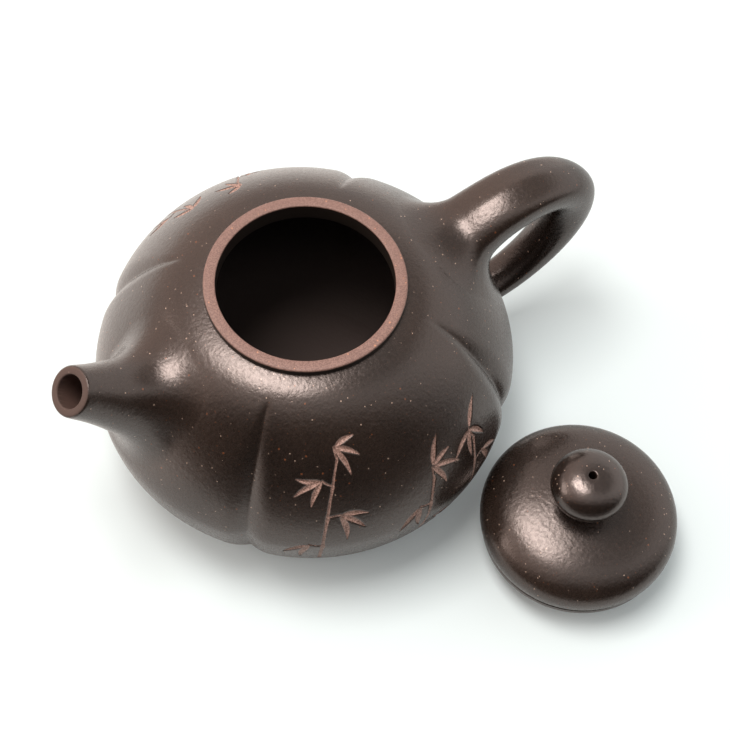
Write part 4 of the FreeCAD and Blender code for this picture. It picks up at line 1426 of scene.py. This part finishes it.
@dataclass
class Lid:
    """The lid: cover, seat ring, flange and knob, with a vent hole through cover and knob."""

    clay: Material
    fingered: Material
    body = "lid"
    around = 192
    vent = 0.85 * MM
    cover_rows = 56
    cover_crowding = 2.2
    cover_power = 2.7
    cover_edge = 0.45
    crown_share = 0.985
    waist = 3.3 * MM
    edge_radius = 5.4 * MM
    edge_rows = 12
    recess_radius = 15.65 * MM
    recess_wall = 3.0 * MM
    recess_depth = 7.0 * MM
    recess_rows = 8
    knob_rise = 0.9 * MM
    rise_width = 7.0 * MM
    knob_half = 5.1 * MM
    knob_flatness = 0.88
    knob_steps = 144
    knob_rows = 40
    knob_end = math.radians(150.0)
    vent_flare = 0.35
    vent_rows = 4
    neck_radius = 5.4 * MM
    neck_sink = 0.03 * MM
    neck_rows = 16
    neck_power = 0.6
    plug_radius = 4.9 * MM
    plug_depth = 1.6 * MM
    plug_vent_depth = 1.7 * MM
    flange_wall = 2.5 * MM
    flange_overlap = 0.1 * MM

    def centre(self) -> Vector:
        """The point on the table under the lid's middle."""
        _, _, middle = node_span("lid_cover")
        return Vector((middle.x, middle.y, 0.0))

    def cover_height(self, across: float) -> float:
        """The height of the cover's upper side at a distance from the lid's axis."""
        low, high, middle = node_span("lid_cover")
        waist = low.z + self.waist
        share = min(across / (high.x - middle.x), 1.0)
        fall = (1.0 - share ** self.cover_power) ** self.cover_edge
        swell = self.knob_rise * math.exp(-(across / self.rise_width) ** 2)
        return waist + (high.z - waist) * self.crown_share * fall + swell

    def cover(self) -> Shape:
        """The cushion shaped cover with its hollow."""
        low, high, middle = node_span("lid_cover")
        radius = high.x - middle.x
        outline = []
        for share in shares(self.cover_rows):
            across = radius * mix(self.vent / radius, 1.0,
                                  1.0 - (1.0 - share) ** self.cover_crowding)
            outline.append(on_outline(across, self.cover_height(across)))
        lowest = math.asin(self.waist / self.edge_radius)
        for share in shares(self.edge_rows, 1):
            turn = lowest * share
            outline.append(on_outline(
                radius - self.edge_radius * (1.0 - math.cos(turn)),
                low.z + self.waist - self.edge_radius * math.sin(turn)))
        outline += [on_outline(self.recess_radius, low.z),
                    on_outline(self.recess_radius, low.z + self.recess_wall)]
        for share in shares(self.recess_rows, 1):
            outline.append(on_outline(
                mix(self.recess_radius, self.vent, share),
                low.z + mix(self.recess_wall, self.recess_depth, math.sin(QUARTER * share))))
        return turned(outline, self.around, True, self.centre())

    def knob(self) -> Shape:
        """A flattened ball on a waisted neck, pierced by the vent hole."""
        _, high, middle = node_span("knob")
        _, cover_high, _ = node_span("lid_cover")
        radius = high.x - middle.x
        half = self.knob_half
        ball = high.z - half
        flare = self.vent_flare
        mouth = math.asin((self.vent * (1.0 + flare) / radius) ** (1.0 / self.knob_flatness))
        outline = []
        for share in shares(self.vent_rows):
            turn = QUARTER * share
            outline.append(on_outline(
                self.vent * (1.0 + flare * (1.0 - math.cos(turn))),
                ball + half * math.cos(mouth) - flare * self.vent * (1.0 - math.sin(turn))))
        for share in shares(self.knob_rows, 1):
            turn = mix(mouth, self.knob_end, share)
            flat = self.knob_flatness if turn < QUARTER else 1.0
            outline.append(on_outline(radius * math.sin(turn) ** flat,
                                      ball + half * math.cos(turn)))
        neck = outline[-1]
        seat = on_outline(self.neck_radius, self.cover_height(self.neck_radius) - self.neck_sink)
        for share in shares(self.neck_rows, 1):
            turn = QUARTER * share
            outline.append(on_outline(mix(seat.x, neck.x, math.cos(turn) ** self.neck_power),
                                      mix(neck.z, seat.z, math.sin(turn))))
        outline += [on_outline(self.plug_radius, cover_high.z - self.plug_depth),
                    on_outline(self.vent, cover_high.z - self.plug_vent_depth)]
        return turned(outline, self.knob_steps, True, self.centre())

    def band(self, inner: float, outer: float, heights: tuple[float, float],
             roundings: Sequence[float]) -> Shape:
        """A ring about the lid's axis.

        Args:
            inner: its inner radius.
            outer: its outer radius.
            heights: its lower and its upper height.
            roundings: those of its corners, from the lower inner one by the outer ones round.

        Returns:
            The shaped ring.
        """
        low, high = heights
        corners = ((inner, low), (outer, low), (outer, high), (inner, high))
        return turned(rounded_outline([Corner(*corner, rounding) for corner, rounding
                                       in zip(corners, roundings)]),
                      self.around, True, self.centre())

    def seat_ring(self) -> Shape:
        """The thin ledge that rests on the mouth ring."""
        low, high, middle = node_span("lid_seat_ring")
        return self.band(self.recess_radius, high.x - middle.x, (low.z, high.z),
                         (0.0, 0.3 * MM, 0.15 * MM, 0.0))

    def flange(self) -> Shape:
        """The tube that hangs in the mouth."""
        low, high, middle = node_span("lid_flange")
        outer = high.x - middle.x
        return self.band(outer - self.flange_wall, outer,
                         (low.z, high.z + self.flange_overlap), (0.5 * MM, 0.5 * MM, 0.0, 0.0))

    def build(self) -> None:
        """Makes and dresses the lid."""
        for name, shape, finish, node in (
                ("cushion_cover", self.cover(), self.clay, "lid_cover"),
                ("round_knob", self.knob(), self.fingered, "knob"),
                ("seat_ledge", self.seat_ring(), self.clay, "lid_seat_ring"),
                ("hanging_flange", self.flange(), self.clay, "lid_flange")):
            make_piece(name, shape, Dressing(self.body, "clay", finish, (node,)))


# ---- Studio ----

@dataclass(frozen=True)
class Softbox:
    """A soft lamp, named by the direction from the pot in which it hangs."""

    name: str
    toward: tuple[float, float, float]
    distance: float
    width: float
    length: float
    power: float
    colour: tuple[float, float, float]


@dataclass(frozen=True)
class Glow:
    """Light that runs from first to last as a direction's nearness climbs from low to high."""

    toward: tuple[float, float, float]
    low: float
    high: float
    first: float
    last: float


@dataclass
class Studio:
    """A pale floor, soft lamps and the camera at the photograph's place."""

    picture_size = 730
    focal_pixels = 1635.2
    sensor = 36.0
    nearest_seen = 0.01
    camera_place = Vector((-84.3, -153.6, 341.4))
    azimuth = math.radians(-33.09)
    elevation = math.radians(61.30)
    roll = 0.065
    floor_half = 1.6
    aim_height = 0.03
    bright_side = Glow((0.42, 0.86, 0.42), -0.48, 0.12, 0.0, 1.02)
    dark_side = Glow((0.42, 0.07, 0.905), 0.80, 0.97, 1.0, 0.35)
    warm_side = Glow((-0.75, 0.66, 0.0), -0.3, 0.7, 0.0, 1.0)
    plain_light = (1.0, 0.97, 0.95, 1.0)
    warm_light = (1.0, 0.82, 0.74, 1.0)
    mirrored_light = 0.03
    lamps = (
        Softbox("overhead_softbox", (-0.14, 0.13, 0.98), 0.75, 0.25, 0.38, 3.9,
                (1.0, 0.92, 0.88)),
        Softbox("left_softbox", (-0.74, 0.42, 0.52), 0.9, 0.45, 0.4, 1.7, (1.0, 0.88, 0.82)))

    def floor(self) -> None:
        """Lays the floor."""
        sheet = bmesh.new()
        bmesh.ops.create_grid(sheet, x_segments=1, y_segments=1, size=self.floor_half)
        floor = into_scene("floor", sheet)
        floor.data.materials.append(FloorFinish("pale_floor").make())

    def hang(self, box: Softbox) -> None:
        """Hangs a softbox so that it faces the pot."""
        light = bpy.data.lights.new(box.name, "AREA")
        light.shape = "RECTANGLE"
        light.size = box.width
        light.size_y = box.length
        light.energy = box.power
        light.color = box.colour
        lamp = bpy.data.objects.new(box.name, light)
        out = unit(Vector(box.toward))
        across = unit(Vector((1.0, 0.0, 0.0)) - out * out.x)
        turn = Matrix((across, out.cross(across), out)).transposed().to_4x4()
        place = out * box.distance + Vector((0.0, 0.0, self.aim_height))
        lamp.matrix_world = Matrix.Translation(place) @ turn
        bpy.context.scene.collection.objects.link(lamp)

    def sky(self) -> None:
        """A surround that is white behind the pot and dark on the camera's side."""
        sheet = NodeSheet(bpy.data.worlds.new("surround"), "Background")
        bpy.context.scene.world = sheet.owner
        where = sheet.add("ShaderNodeTexCoord", {}).outputs["Generated"]
        rays = sheet.add("ShaderNodeLightPath", {}).outputs
        bright, dark, warm = (
            sheet.ramp(sheet.toward(where, glow.toward), glow.low, glow.high, glow.first,
                       glow.last) for glow in (self.bright_side, self.dark_side, self.warm_side))
        seen = sheet.maths("MAXIMUM", rays["Is Camera Ray"], rays["Is Transmission Ray"])
        level = sheet.maths("ADD", sheet.maths("MULTIPLY", bright, dark),
                            sheet.maths("MULTIPLY", rays["Is Glossy Ray"], self.mirrored_light))
        tint = sheet.blend(warm, self.plain_light, self.warm_light)
        sheet.link(sheet.blend(seen, tint, WHITE), "Color")
        sheet.link(sheet.maths("MAXIMUM", level, seen), "Strength")

    def camera(self) -> None:
        """Puts the camera where the photograph was taken from."""
        data = bpy.data.cameras.new("camera")
        data.sensor_width = self.sensor
        data.lens = self.sensor * self.focal_pixels / self.picture_size
        data.clip_start = self.nearest_seen
        camera = bpy.data.objects.new("camera", data)
        level = about_axis(1.0, self.azimuth, 0.0)
        ahead = Vector((-math.sin(self.azimuth) * math.cos(self.elevation),
                        math.cos(self.azimuth) * math.cos(self.elevation),
                        -math.sin(self.elevation)))
        upward = level.cross(ahead)
        right = level * math.cos(self.roll) + upward * math.sin(self.roll)
        top = upward * math.cos(self.roll) - level * math.sin(self.roll)
        turn = Matrix((right, top, -ahead)).transposed().to_4x4()
        camera.matrix_world = Matrix.Translation(self.camera_place * MM) @ turn
        bpy.context.scene.collection.objects.link(camera)
        bpy.context.scene.camera = camera

    def build(self) -> None:
        """Sets up the floor, the light and the camera."""
        self.camera()
        self.floor()
        self.sky()
        for lamp in self.lamps:
            self.hang(lamp)
        bpy.context.scene.view_settings.view_transform = "Standard"


def dress_kept_nodes(clay: Material) -> None:
    """Gives the strainer, which stays as packed, the clay's finish."""
    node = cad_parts["strainer"]
    node.data.materials.clear()
    node.data.materials.append(clay)


def main() -> None:
    """Builds the studio, the pot and the lid."""
    logging.basicConfig(level=logging.INFO, format="%(name)s %(message)s")
    Studio().build()
    clay = ClayFinish("dark_clay").make()
    rim_top = node_span("mouth_collar")[1].z
    rim = GroundRimFinish("ground_rim", rim_top).make()
    Pot(clay, rim).build()
    fingered = ClayFinish("fingered_clay", sheen_level=1.15,
                          rub=Mottle(1.4, 2.0, 0.3, 0.7, 0.21, 0.27)).make()
    Lid(clay, fingered).build()
    dress_kept_nodes(clay)


if __name__ == "__main__":
    main()
